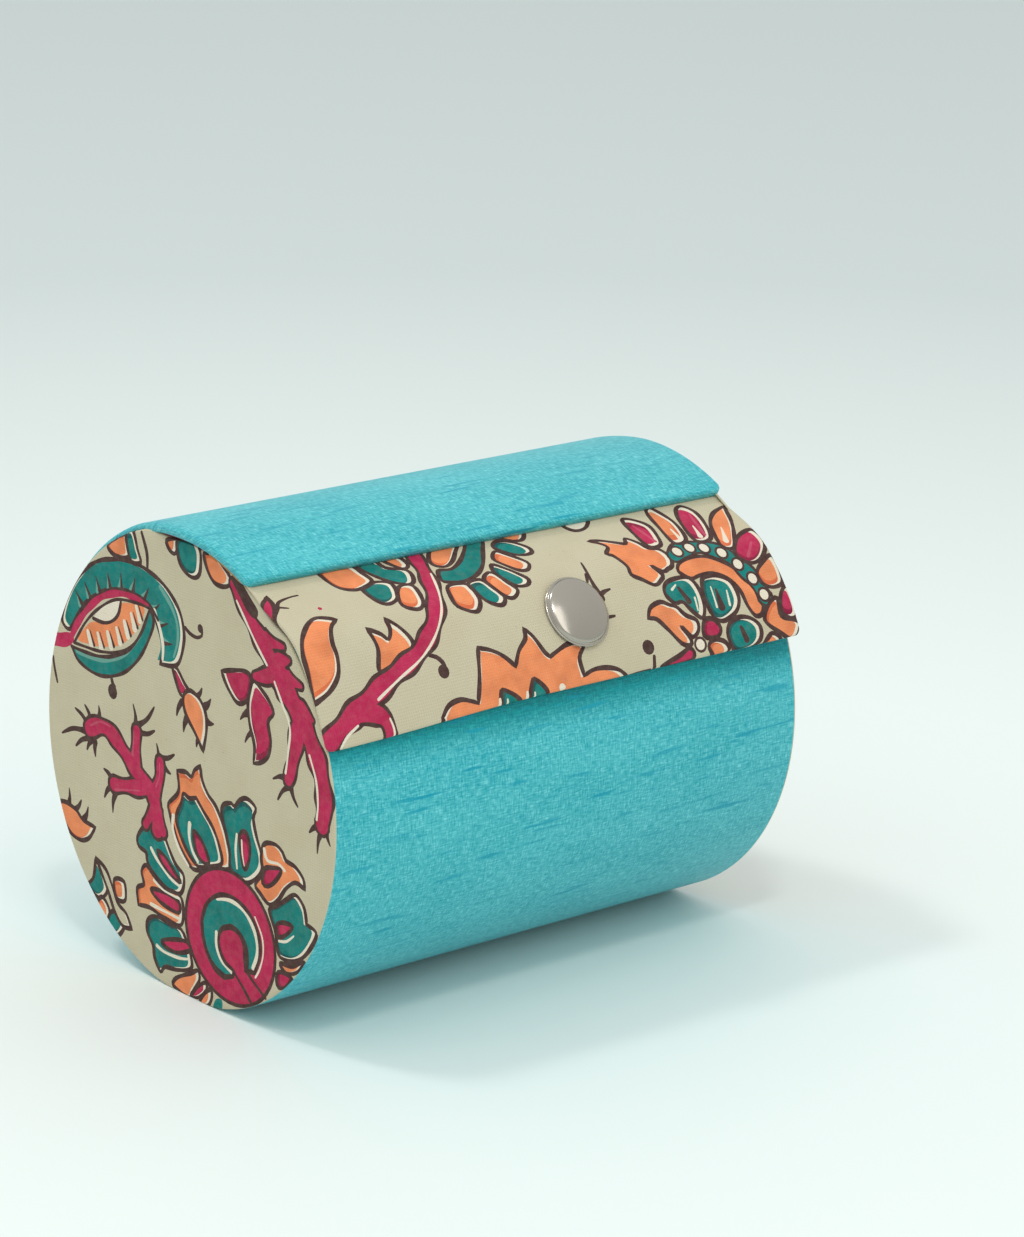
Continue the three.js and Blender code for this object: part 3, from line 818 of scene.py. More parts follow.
def thorny_bud(p):
    """An orange bud on a magenta base, with thorns."""
    p.cell("magenta", [(-4, 20.5), (-2.5, 20.5), (0, 18), (1.7, 16.5), (0.5, 15.2), (-1.5, 15.5), (-3, 18)])
    p.thorns(
        ((4.5, 16.5), (5.8, 18.3)), ((7, 15), (8.7, 16.8)), ((7.4, 12), (9.6, 12)),
        ((4.5, 7.8), (3.8, 6)), ((0.5, 10.8), (-0.5, 8)), ((-1, 14), (-2.8, 10.8)),
    )
    p.cell(
        "orange",
        [
            (0, 16), (2, 17), (5, 16), (7, 13.5), (7.2, 10), (6, 5.5, 1), (3.5, 8.5), (0.5, 11.5), (-0.5, 14),
        ],
    )


def coral(p):
    """A magenta coral branch with long thorns."""
    p.thorns(
        ((-34, 1), (-38.5, 3.5)), ((-33, 2.5), (-35, 5)), ((-30, 3.3), (-30, 6)), ((-35, -0.5), (-43.5, -3)),
        ((-34, -1.8), (-38.5, -4.5)), ((-33, -2.2), (-34.5, -4.3)), ((-31.5, -2), (-31.5, -5)),
        ((-17, 5), (-17.8, 9.3)), ((-16.3, 5.3), (-10.5, 10.5)), ((-15.2, 4), (-10.5, 5.6)),
        ((-9.3, 0), (-9.8, 3)), ((-8.5, 0.5), (-3.8, 2.3)), ((-7.3, -1), (-5.2, -2)),
        ((-26, -8.2), (-28.5, -7)), ((-26, -10), (-28.5, -13)), ((-24.5, -11), (-25.6, -15.5)),
    )
    p.limbs(
        "magenta",
        (
            [
                (-10, -15), (-10.5, -10), (-13, -6.5), (-17, -4.5), (-20.5, -2), (-26, 1.5),
                (-30, 1.8), (-33.5, 0.4),
            ],
            3.4,
            3.2,
        ),
        ([(-17.5, -3), (-17, 1), (-16.7, 4)], 3.4, 2.2),
        ([(-11, -8), (-9, -4), (-8.7, -0.5)], 3.4, 2.0),
        ([(-14, -7.5), (-20, -8.5), (-25, -9.4)], 3.0, 2.6),
        ([(-11, -11), (-14, -15)], 2.4, 2.0),
        ([(-9.5, -11), (-8, -15)], 2.4, 2.0),
    )
    p.stroke("rose", [(-33, 1.2), (-29.5, 2.8), (-26, 2.6)], 0.6, 0.3)
    p.stroke("rose", [(-18.3, -1.4), (-17.9, 1.5), (-17.7, 3.8)], 0.6, 0.3)
    p.stroke("rose", [(-10.2, -6), (-9, -3.4), (-8.9, -0.8)], 0.6, 0.3)
    p.stroke("rose", [(-24.6, -10.4), (-20.4, -9.4), (-16, -8.4)], 0.5, 0.3)


def half_leaf(p):
    """An orange leaf that the disc's rim cuts off."""
    p.thorns(
        ((-41.5, -17.9), (-41.3, -14.5)), ((-39, -18.4), (-37, -16)), ((-36, -19.8), (-34.5, -16.8)),
    )
    p.cell(
        "orange",
        [
            (-45.5, -19), (-43, -17.8), (-39, -18.5), (-36.5, -20), (-32, -20.5, 1), (-34.5, -23.5),
            (-38, -24.7), (-42, -23.5),
        ],
    )


def small_flower(p):
    """A little flower of teal, pale and orange petals."""
    p.cell("teal", [(-35, -34), (-33, -31.5), (-32, -27, 1), (-29.5, -29.5), (-28, -33), (-31, -35.5)])
    p.cell("orange", [(-25.5, -30), (-22, -29.5), (-21.5, -33), (-23, -34), (-25, -33.5)])
    p.cell("orange", [(-32, -37.5), (-30, -35), (-27.5, -37), (-28, -39.8)])
    p.cell("teal", [(-28, -40.5), (-27, -37.5), (-23.5, -36.5), (-21.8, -38.5), (-24.5, -41.8)])
    p.cell(
        "cream",
        [
            (-32, -27, 1), (-28.5, -28.6), (-26.4, -31.4), (-24.2, -34.8), (-21.4, -36.2), (-19.5, -39, 1),
            (-22.8, -39.2), (-25.6, -36.8), (-27.8, -33), (-30.2, -29.6),
        ],
    )


def thorny_branch(p):
    """A stout magenta branch down the disc's side, with two serrated leaves, and a painted shadow at its top.
    """
    p.thorns(
        ((33.2, 7), (29, 5.8)), ((34, 5.5), (30.5, 2)), ((34.8, 5.2), (36.8, 2.2)),
        ((43.5, 0), (40.5, -2)), ((44.5, -0.5), (43, -5.5)), ((45.8, 0), (47, -3)),
        ((20.8, 17), (18.5, 15.2)), ((22.3, 13.5), (20, 11)),
    )
    p.limbs(
        "magenta",
        ([(16.5, 42), (20.5, 37.5), (24.5, 33.5), (28.5, 29.5), (33, 25)], 2.2, 5.4),
        ([(33, 25), (37.5, 20.5), (41.5, 15.5), (44.5, 9.5), (45.2, 4), (44.5, 0.5)], 5.4, 4.0),
        ([(27, 33), (32.4, 33)], 3.4, 0.8),
        ([(31, 30), (34.2, 30.7)], 3.4, 0.8),
        ([(34, 27), (38, 26.5)], 3.4, 0.8),
        ([(38, 22), (41.6, 20.6)], 3.4, 0.8),
        ([(37, 18), (36, 13), (34.8, 9), (33.9, 6.8)], 4.2, 2.2),
        ([(30, 27), (26, 25.6), (23.4, 25)], 3.2, 1.8),
    )
    p.stroke("pale", [(17.6, 38.8), (21, 34.8), (24.4, 31), (27.2, 28.2)], 0.6)
    p.stroke("pale", [(29.6, 25.4), (32, 21.6), (34.4, 17.5), (33.8, 12), (33, 8)], 0.6)
    p.stroke("pale", [(40.6, 13.4), (42.6, 9), (43.2, 4.5), (42.8, 1.2)], 0.6)
    # Painted shadow: a dark patch at the branch's top, where the lid's corner shades the disc
    p.patch(
        "dark",
        [(15.8, 43), (19, 42.8), (22, 40.5), (24.5, 38.2), (23.5, 36.5), (21, 37.5), (18.5, 40)],
    )
    p.cell(
        "magenta",
        [
            (12.5, 23.5, 1), (16, 24.5), (20, 25.3), (22, 24.5), (21.5, 21), (20, 19), (17.5, 18.3),
            (15, 20), (13.3, 22),
        ],
        keep=(22, 22.6),
    )
    p.cell(
        "magenta",
        [
            (23, 24), (26, 22.5), (28, 21), (29.3, 19), (27.5, 16.8), (28.3, 13), (27.5, 10), (25, 8),
            (22.7, 7.3, 1), (23, 11), (21.5, 15), (21, 19), (21.8, 22),
        ],
        keep=(29, 14),
    )


def lotus(p):
    """A big round flower: a ring and a core, with orange and teal petals all round."""
    p.cell(
        "orange",
        [
            (1, -19.5), (-3, -15.5), (-5.8, -10), (-6, -8.5), (-2.5, -5), (-2.8, -0.8, 1), (0, -0.3),
            (2, -0.8), (3, 0.8), (5, 2.2, 1), (5.6, -0.5), (7.5, -3), (10.3, -5), (13, -9), (14.6, -13),
            (14.5, -16.5), (8, -18.5), (3, -20),
        ],
    )
    p.cell(
        "teal",
        [
            (4, -19), (0, -16.5), (-3, -12.5), (-3.2, -10), (-1.5, -7), (-0.8, -5), (1.2, -5.5),
            (3.5, -4.8, 1), (6, -7), (9, -9.5), (11, -12.5), (12, -16), (9, -17.5),
        ],
    )
    p.cell("magenta", [(2.5, -12), (5, -13), (7, -15.5), (7.5, -17.5), (5, -17.5), (3, -15.5)], gap=0.5)
    p.cell(
        "teal",
        [
            (15, -17), (14.5, -13), (13, -8.5), (12, -5.5), (12.8, -3.7), (15.3, -2.8), (16.3, -3.2),
            (18, -1.5), (20.5, -0.5), (23.3, -1.7), (22.5, -4), (23.5, -7.5), (25, -10.5), (25.5, -13),
            (24, -15.5), (20, -18),
        ],
    )
    p.cell(
        "magenta",
        [(18, -8.5), (20, -7.5), (21.3, -10), (21, -13), (19.5, -15.3), (18.2, -12)],
        gap=0.4,
    )
    p.cell(
        "orange",
        [
            (25.5, -9), (27, -7.8), (30, -7.5), (32, -8.5), (33, -9.8), (36, -10.3), (38.5, -12),
            (39, -14, 1), (36, -13.5), (33, -15.5), (30.5, -18.5), (27.5, -20.3), (24.5, -18.8),
            (23, -17.5), (25.3, -14.5), (25, -11.5),
        ],
    )
    p.cell(
        "magenta",
        [(26, -13.5), (28.5, -12.5), (31.5, -12.2), (29.5, -15), (27, -16.8), (25.3, -16.5)],
        gap=0.4,
    )
    p.cell(
        "teal",
        [
            (27.5, -21.5), (30, -20), (33, -17.8), (36, -16), (38.5, -17.5), (39.3, -19.5), (39.5, -21, 1),
            (42.5, -21.8), (41.5, -24.5), (38.5, -28), (35, -30), (31, -30.2), (30, -28.5), (29.5, -25.5),
        ],
    )
    p.cell("magenta", [(29.8, -24), (32, -22.8), (35, -22.8), (33, -25), (30.5, -26.2)], gap=0.4)
    p.cell("orange", [(31, -31.5), (35, -31), (38.5, -29), (37, -31.5), (33, -33)])
    p.cell("magenta", [(30.3, -33.5), (34.5, -33.5), (32, -36.5), (30, -36.3)], gap=0.4)
    p.cell(
        "teal",
        [
            (-1, -22.5), (-4, -20.5), (-7, -16.5), (-8, -14.5), (-11, -13.2), (-14.5, -15.5), (-17, -18.5),
            (-16.5, -20.3), (-14, -21), (-13.5, -23), (-10, -25.5), (-6, -26.8), (-2, -26.3),
        ],
    )
    p.cell(
        "magenta",
        [(-10, -19.5), (-7.5, -20), (-4, -22.5), (-2, -24), (-5, -23.8), (-8.5, -21.8)],
        gap=0.4,
    )
    p.cell(
        "orange",
        [
            (-2, -27.3), (-8, -26.8), (-11, -25.5), (-14, -23.7), (-15.7, -25.5), (-15, -28),
            (-17.3, -29.5), (-17, -33, 1), (-13, -32.5), (-8, -33.2), (-2, -33),
        ],
    )
    p.cell("magenta", [(-12.5, -28.5), (-9, -27.8), (-3, -28.3), (-3, -30.8), (-9, -30.3)], gap=0.4)
    p.cell(
        "teal",
        [
            (-1.5, -34.5), (-6, -34), (-11, -33.8), (-13.8, -35.5), (-14, -38), (-12, -40.3), (-11.5, -43),
            (-9.5, -45.3), (-8, -43.8), (-3, -43), (1.5, -40.8),
        ],
    )
    p.cell(
        "magenta",
        [(-9, -38.5), (-5, -37), (-0.5, -36.2), (1, -37.5), (-3, -39.3), (-7, -39.5)],
        gap=0.4,
    )
    p.cell("orange", [(-5, -47), (-4, -45), (1, -42.5), (3.5, -41.2), (4, -43), (2, -46), (0.5, -48)])
    p.cell("magenta", [(1, -47.5), (3, -45), (6, -43), (6.5, -44.5), (3.5, -47)])
    p.cell("orange", [(4, -48), (6, -45), (8, -44), (8, -46), (6.5, -48)])
    p.patch("teal", [(8.5, -48), (9.5, -45.5), (11.5, -45), (11.5, -47)])

    for line, width in (
        ([(-4.4, -10.6), (-4.6, -13.4), (-2.6, -17), (0.6, -19.8)], 0.9),
        ([(1.2, -10.8), (1, -13.5), (2, -16.2), (3.8, -18)], 1.0),
        ([(17, -8.8), (16.6, -12), (17, -15.8)], 0.8),
        ([(18.6, -9.6), (18.8, -12.4), (19.4, -14.6)], 0.5),
        ([(26, -9.4), (27, -11.4), (30.6, -11.2), (32.6, -12)], 0.8),
        ([(-12.2, -19.6), (-10, -21.6), (-6, -24), (-2.6, -25)], 0.8),
        ([(-12.6, -31.6), (-8, -31.8), (-2.4, -32)], 0.8),
        ([(-11.4, -26.2), (-8, -27.4), (-2.6, -27.7)], 0.6),
        ([(-10.6, -40), (-8, -40.6), (-3, -40.4), (0.6, -39.6)], 0.8),
        ([(30.6, -27), (33, -26.4), (35.4, -24.6)], 0.6),
    ):
        p.stroke("pale", line, width, width * 0.7)

    centre = np.array([14.45, -30.9])
    turn = np.linspace(0, math.tau, 40)[:-1]
    ring = np.stack([np.cos(turn), np.sin(turn)], 1) * (15.4, 14.3)
    p.add("dark", centre + ring)
    p.add("magenta", centre + ring * 0.94)
    bowl = [
        (19.6, -36.4, 1), (22.6, -36, 1), (24.2, -32.5), (24.3, -29), (22.6, -25.6), (19.2, -23.2),
        (15, -22.3), (10.6, -23.2), (7, -25.8), (5.2, -29.5), (5.1, -32.6), (6.5, -36), (9.2, -38.8),
        (12, -39.8), (15.4, -38.9, 1), (15.6, -37.6, 1), (12.6, -36.5), (10.8, -34), (10.8, -31.5),
        (12.2, -29.6), (15, -28.8), (17.8, -29.6), (19.2, -31.6), (19.3, -34),
    ]
    p.patch("teal", bowl)
    gleam = [(10.2, -24), (14.6, -23.1), (19, -24), (22.1, -26.6), (23.4, -29.6), (23.3, -32.4), (22, -35.2)]
    p.stroke("pale", gleam, 0.9)
    p.stroke("pale", [(9.9, -31.2), (9.9, -34), (11.6, -36.6), (14.8, -38.2)], 1.0, 0.8)
    p.stroke("dark", [*bowl, bowl[0][:2]], 1.0)
    inner_edge = [(12, -29.8), (15, -28.6), (17.8, -29.3), (19.4, -31.2), (19.9, -33.4), (19.9, -35.6)]
    p.stroke("dark", inner_edge, 1.0, 1.7)
    p.stroke("dark", [(5.2, -30), (5.4, -33.4), (7, -36.8), (9.6, -39), (12.6, -39.8)], 0.9, 1.5)
    p.stroke("dark", [(19.8, -36.4), (22, -37.9), (26, -40.2)], 0.8)
    p.stroke("dark", [(15.6, -37.8), (18.6, -40.2), (21.4, -42.8)], 0.8)
    p.stroke("pale", [(22.8, -24.3), (25.1, -27.8), (25.4, -31.4), (24.2, -34.8), (22.8, -36.9)], 0.45)


def flap_flower(p):
    """The scalloped half rosette that the lid's edge cuts off, and the stem beside it."""
    p.cell(
        "orange",
        [(-43, -2), (-43.2, 1), (-41.8, 4.2), (-39, 5.6), (-36, 5), (-33.8, 3.8), (-34.5, 1), (-36, -1.5)],
    )
    p.cell("teal", [(-34.5, -1.5), (-30, -1.5), (-28.5, 1), (-24.5, 3), (-25, 6), (-27, 7.2), (-31, 4.5)])
    p.cell("teal", [(-37.8, 6.3), (-36, 5.2), (-33.3, 4.5), (-30.5, 6), (-32, 10), (-35, 11.3), (-37, 10)])
    p.cell(
        "orange",
        [(-32.5, 11.5), (-31, 8.5), (-28.8, 7), (-26.5, 8), (-27.5, 12.5), (-29.5, 14), (-32, 13)],
    )
    p.cell("orange", [(-28, -1.5), (-24, -1.2), (-23.2, 1.5), (-25, 2.3)])
    p.cell(
        "orange",
        [
            (-18, 2), (-17, 0), (-15, -1.5), (-9, -1.5), (-10.5, 0.5), (-13, 3), (-15.5, 4.2), (-17.5, 3.5),
        ],
    )
    p.cell(
        "teal",
        [
            (-19.5, 8), (-18, 5), (-15, 5.3), (-11.5, 3.5), (-8, 0.3), (-6.5, -1.5), (-2.5, -1.5), (-4.5, 2),
            (-7.5, 6), (-11, 8.5), (-15, 9.5), (-18, 9),
        ],
        gap=0.6,
    )
    p.cell(
        "orange",
        [
            (-20, 10.5), (-18.5, 9.7), (-16.5, 9.8), (-15, 10.5), (-14.8, 13.5), (-15.2, 15.5), (-17, 17.2),
            (-19.5, 16.3), (-21, 14.5),
        ],
    )
    p.cell(
        "teal",
        [
            (-14.7, 10.5), (-12, 9.8), (-10.8, 10.5), (-10, 13), (-9, 15.5), (-10.5, 17), (-13, 16),
            (-14.3, 14),
        ],
    )
    p.cell(
        "orange",
        [(-10.3, 10), (-8, 8.5), (-6.8, 9.5), (-6, 12), (-5, 14.5), (-7, 16), (-8.8, 15.2), (-10, 12.5)],
    )
    p.cell(
        "teal",
        [
            (-6.8, 8.8), (-5.5, 6.5), (-3.5, 8.5), (-2, 10.5), (-0.8, 12.5), (-2, 13.8), (-4.5, 13.5),
            (-6, 11.5),
        ],
    )
    p.cell("orange", [(-4, 5), (-2, 2.8), (0, 4.5), (2, 7), (2.5, 8.5), (1, 10), (-1, 9.7), (-2.8, 7.5)])
    p.cell("teal", [(-1.5, 1.5), (0.5, 0), (3.5, 1), (6, 3.5), (5.8, 5.3), (3.5, 5.6), (1, 4.5)])
    p.cell("orange", [(1.5, -1), (5, -1.2), (8, -1), (6.5, 1), (4, 0.8)])
    stem = [
        (-20, -3), (-20.5, 1), (-21.3, 5), (-23.3, 10), (-26, 15), (-30, 19.5), (-35, 23), (-41, 25.5),
        (-47, 28), (-53, 30.5), (-58, 33), (-63.5, 36.5),
    ]
    p.limbs("magenta", (stem, 2.5, 3.4), ([(-52, 30.6), (-48.4, 31), (-46, 32.8), (-45.6, 36.8)], 3.2, 2.2))
    p.beside("pale", stem[2:9], -1.15, 0.5)
    p.stroke("pale", [(-45, 32.6), (-44.6, 34.4), (-44.8, 36.4)], 0.45)
    p.stroke("pale", [(-57.6, 35.6), (-55.6, 33.8), (-52.6, 32.4)], 0.5)
    p.stroke("dark", [(-32, 23.6), (-30.6, 24.2), (-29.6, 25.4), (-29.4, 26.6)], 0.9)
    p.dot("dark", (-30, 27.1), 1.3)


def flap_leaves(p):
    """The loose leaves at the flap's left end."""
    p.cell(
        "magenta",
        [(-62.8, 7), (-61, 4.5), (-59, 3), (-58.3, 2.2, 1), (-58.5, 5), (-60, 7.5), (-62, 9.5)],
        gap=0.4,
    )
    p.stroke("dark", [(-62.3, 12), (-61, 9), (-58.5, 6.5), (-57, 4.6), (-54, 3.8), (-51.8, 3.7)], 1.0, 0.5)
    p.stroke("dark", [(-58, 6), (-56.2, 6.8)], 0.9, 0.4)
    p.dot("magenta", (-50, 8.7), 0.45)
    p.cell(
        "orange",
        [
            (-61.3, 27.5, 1), (-60.5, 22), (-60, 18), (-58.5, 15), (-55.5, 12.2), (-53, 11), (-51, 11.3),
            (-48.7, 12.3, 1), (-51, 14), (-52.5, 17), (-52.7, 20), (-54, 23.5), (-57, 26),
        ],
    )
    p.cell(
        "orange",
        [
            (-44.3, 24.5), (-43, 20), (-43.5, 15.8, 1), (-41, 17.5), (-39.8, 18.8), (-38.5, 17),
            (-38.3, 14.5, 1), (-36.3, 16.8), (-34.8, 19.5), (-35, 21.3), (-39, 23.2),
        ],
        keep=(-43, 24),
    )


def flap_spikes(p):
    """The spiky orange flower that the flap's lower edge cuts off."""
    p.cell(
        "orange",
        [
            (-33, 35, 1), (-31, 33.2), (-28, 32.7), (-25.5, 33.5), (-24, 34.2, 1), (-22.3, 30), (-21, 26),
            (-20.3, 24.3, 1), (-17.5, 25.3), (-15, 27), (-13, 29.3, 1), (-11, 26.5), (-8.5, 24.5),
            (-8, 22.5, 1), (-6.5, 24.5), (-5, 28), (-4, 29, 1), (-2, 28.3), (0.5, 27.5), (3, 27.3), (5, 28.2),
            (3, 30.5), (3, 34, 1), (6, 33.3), (9.5, 33.6), (12.5, 34.8), (14, 37.5), (-8, 39.5), (-32, 38),
        ],
        keep=(-14, 40),
    )
    p.cell("teal", [(-18.5, 36.5), (-18, 33.2), (-17, 33.2), (-14.5, 35), (-13.5, 37), (-16, 38)], gap=0.4)
    p.cell("teal", [(-11.5, 36.5), (-9.8, 32.5), (-8.8, 32.8), (-7, 35), (-7, 37), (-9, 38)], gap=0.4)
    p.dot("pale", (-3, 35.3), 0.8)
    for x in (-18.3, -11.4):
        p.stroke("pale", [(x - 0.9, 37), (x - 0.4, 34.6)], 0.9, 0.5)
        p.stroke("pale", [(x + 1.2, 37), (x + 1.4, 35)], 0.8, 0.4)
    p.stroke("dark", [(14, 36.5), (17, 36), (20, 36)], 0.8)
    p.stroke("dark", [(21, 36.5), (21.3, 35), (21.7, 33.5)], 0.9)
    p.dot("dark", (20.8, 31.5), 1.5)
    p.cell("pale", [(18.2, -2), (18.6, 0.4), (20.4, 1.7), (23, 1.3), (25, -0.6), (25.4, -3)])
    p.stroke("dark", [(13.6, 20), (13.2, 16), (14, 11.2)], 1.5, 0.35)
    p.stroke("dark", [(13, 14.4), (12, 16.2)], 0.9, 0.5)
    p.stroke("dark", [(13.4, 19.4), (14.8, 18.8), (16.6, 18.5)], 1.1, 0.5)
    p.stroke("dark", [(12.6, 24), (15, 24)], 0.8, 0.5)


def flap_rosette(p):
    """The layered rosette at the flap's right end."""
    p.cell(
        "orange",
        [
            (20.5, 5.5, 1), (23, 6), (25.5, 7.3), (28, 8.5), (29.2, 7), (31, 9), (32, 11), (34.3, 12),
            (35.3, 14.5), (34.5, 16.5), (33, 17), (31.5, 17.3), (29.5, 15.5), (31, 18), (30, 19), (28, 19.7),
            (25.5, 18), (23.5, 16.5), (23.8, 14.5), (22.5, 11), (21.5, 10.2), (23.3, 8.5), (22.3, 6.8),
        ],
    )
    p.cell(
        "orange",
        [
            (23, 26, 1), (24.5, 24), (27.5, 23.3), (29.5, 24.3), (31, 25), (32.5, 27), (34.8, 28.5),
            (34.5, 30.5), (32.5, 31.5), (30.5, 29), (32, 32), (31.5, 33), (29.5, 32.3), (27, 29), (25, 26.5),
        ],
    )
    p.cell("magenta", [(23, 35.8), (28, 34.5), (31, 33.5), (32, 34.5), (31, 36), (26, 36.2)], gap=0.4)
    p.cell(
        "orange",
        [
            (35.3, 18), (36.5, 16.3), (40, 15.5), (44.5, 16.3), (48.5, 19), (51.3, 23), (52.8, 27.5),
            (52, 30), (50, 30.3), (48.8, 28), (48.3, 24.5), (46.5, 21.5), (43.5, 20), (40, 19.8), (37.5, 20),
        ],
        gap=0.5,
    )
    p.cell(
        "teal",
        [
            (29.5, 22), (30.5, 20), (33.5, 19.3), (37, 19.8), (38.3, 22.5), (38, 26), (36.5, 28.3),
            (34.5, 26.5), (33, 24.3), (31, 24.2),
        ],
    )
    p.cell(
        "teal",
        [
            (39, 27.5), (38.8, 24), (40, 20.8), (42, 20.3), (44.5, 20.8), (47, 22.5), (47.3, 26),
            (45.5, 28.5), (42, 29.8), (40, 29.3),
        ],
    )
    p.cell(
        "teal",
        [
            (41.5, 33), (42.5, 30.8), (45.5, 29.8), (48.5, 30.5), (50.3, 32.5), (49.5, 35), (46, 36.5),
            (42.5, 36),
        ],
    )
    p.cell("magenta", [(35.5, 31), (36.8, 28.8), (39, 29), (40.2, 31), (39, 32.5), (36, 32.3)], gap=0.4)
    p.cell("orange", [(36, 34), (38, 33), (40.5, 34), (40.8, 36), (37.5, 37)])
    band = [(36.6, 14.4), (39, 13.4), (42, 13.2), (45, 14), (48.8, 16.3), (51, 19.5), (53, 23), (54, 27)]
    p.stroke("dark", band, 4.4)
    p.stroke("teal", band, 3.0)
    beads = [
        (38, 13.5), (41.6, 13.2), (45, 14), (48.4, 16), (50.8, 19.2), (52.8, 22.8), (54, 26.5), (34, 33.3),
    ]
    for centre in beads:
        p.dot("dark", centre, 1.65)
        p.dot("pale", centre, 1.1)
    for drop in ([(33.4, 21.4), (34.6, 24.4)], [(42.4, 23.4), (42.2, 27)], [(45.4, 31.8), (46, 34.4)]):
        p.stroke("dark", drop, 0.7, 1.6)
    for gleam in (
        [(31.6, 21.4), (33, 20.6)],
        [(36.4, 24), (36, 26.6)],
        [(41, 26.8), (41.4, 22.6)],
        [(44.4, 27), (45, 24)],
    ):
        p.stroke("pale", gleam, 0.55, 0.3)
    p.cell("magenta", [(32.5, 10.5), (32.3, 5), (33, 1.2), (35.5, 2), (37.5, 4.5), (37, 8), (35.5, 11)])
    p.cell("orange", [(39, 11), (39.5, 5), (40.2, 0.3), (41.8, -0.5), (43.5, 2.5), (44, 6), (42.5, 11)])
    p.cell("magenta", [(44.5, 11.5), (45.5, 5.5), (47.5, 1.5), (49.5, 0.8), (51.3, 3), (51, 6.5), (48.5, 12)])
    p.cell("orange", [(49.5, 14), (51.5, 8.5), (55, 5), (59.5, 3.3, 1), (57.5, 8), (55, 12), (52, 15.5)])
    p.cell("magenta", [(51.5, 17), (54.5, 13.5), (58, 12), (60.2, 12.2), (60.5, 16), (57.5, 19), (54, 19.5)])
    for gleam in ([(41.4, 10.4), (41.6, 7)], [(51.6, 13.4), (53.4, 9.6)], [(46.6, 10.8), (47.4, 7.4)]):
        p.stroke("pale", gleam, 1.2, 0.3)
    for fold in (
        [(35.2, 9.6), (34.6, 6.4), (34, 3.6)],
        [(48, 10.6), (48.8, 6.6), (49.6, 3.6)],
        [(54.4, 18), (57.4, 15)],
    ):
        p.stroke("rose", fold, 0.9, 0.4)
    p.cell("orange", [(54.5, 22), (57, 20), (60.5, 19), (60.3, 24.5), (57.5, 25.5), (55, 24.5)])
    p.cell("magenta", [(57, 30.5), (58.5, 27), (61, 26), (61, 31.5), (59, 32.3)])
    p.cell(
        "orange",
        [(52, 31.5), (54.5, 28.5), (57, 27.8), (56.5, 31.5), (60, 32.8), (61, 34), (58.5, 36.5), (55, 34.5)],
    )
    p.cell("orange", [(50, 37), (53, 34.3), (55.5, 37)])


# Printed cloths


def cut_cloth(name, border, bends, place, shapes=(), holes=()):
    """A cloth cut to its border, meshed along every inked edge and bend line, and put in place."""
    points, edges = [], []
    for outline in [border, *holes, *bends, *(outline for ink, outline in shapes)]:
        first, count = len(points), len(outline)
        points.extend(Vector(point) for point in outline)
        edges.extend((first + index, first + (index + 1) % count) for index in range(count))
    found = delaunay_2d_cdt(points, edges, [], 0, 1e-4)
    flat = np.array([tuple(point) for point in found[0]])
    triangles = np.array(found[2])
    middles = flat[triangles].mean(1)
    kept = inside(border, middles)
    for hole in holes:
        kept &= ~inside(hole, middles)
    triangles, middles = triangles[kept], middles[kept]
    used, renamed = np.unique(triangles, return_inverse=True)
    flat, triangles = flat[used], renamed.reshape(triangles.shape)

    mesh = bpy.data.meshes.new(name)
    mesh.from_pydata(place(flat), [], triangles)
    layer = mesh.uv_layers.new(name="cloth")
    layer.data.foreach_set("uv", flat[triangles.ravel()].astype(np.float32).ravel())
    if shapes:
        colours = np.tile(np.array(INKS["cream"]), (len(triangles), 1))
        for ink, outline in shapes:
            colours[inside(outline, middles)] = INKS[ink]
        inks = mesh.color_attributes.new("ink", "FLOAT_COLOR", "CORNER")
        inks.data.foreach_set("color", np.repeat(colours, 3, axis=0).astype(np.float32).ravel())
    return mesh


RIM_ROUND = 0.4
RIM_TURN = 2.2
GLUED_TURN = 0.9
DISC_FACE = HALF_LENGTH + 0.12 * MM
DISC_COVER = 1.55

# The angles over which the lid's front comes to lie over the end cloth's rim, and leaves it again
LID_OVER_RIM = (45, 53)
LID_OFF_RIM = (94, 106)


def circle(radius, count=160, centre=(0.0, 0.0)):
    """A closed ring of points."""
    turn = np.linspace(0, math.tau, count + 1)[:-1]
    return np.array(centre) + radius * np.stack([np.cos(turn), np.sin(turn)], 1)


def covers_wall(angle):
    """How far the end cloth covers the wall's end: fully, but not where the lid's front lies over it."""
    along = np.degrees(angle) % 360
    return 1 - rise(along, *LID_OVER_RIM) * (1 - rise(along, *LID_OFF_RIM))


def disc_edge(angle):
    """The radius at which the end cloth starts to turn over its rim."""
    return DISC_RADIUS / MM - RIM_ROUND + DISC_COVER * covers_wall(angle)


def disc_ring(past, glued_past=None, count=240):
    """A closed line this far past the disc's flat face, or less far where it is glued to the wall."""
    angle = np.linspace(0, math.tau, count + 1)[:-1]
    share = covers_wall(angle) if glued_past is not None else 0
    reach = disc_edge(angle) + past + share * ((glued_past or 0) - past)
    return reach[:, None] * np.stack([np.cos(angle), np.sin(angle)], 1)


def over_rim(distance, rounding):
    """How far out and how far down cloth goes that runs this far past a rounded edge."""
    turn = np.clip(distance / rounding, 0, math.pi / 2)
    out = rounding * np.sin(turn)
    down = rounding * (1 - np.cos(turn)) + np.maximum(distance - rounding * math.pi / 2, 0)
    return out, down


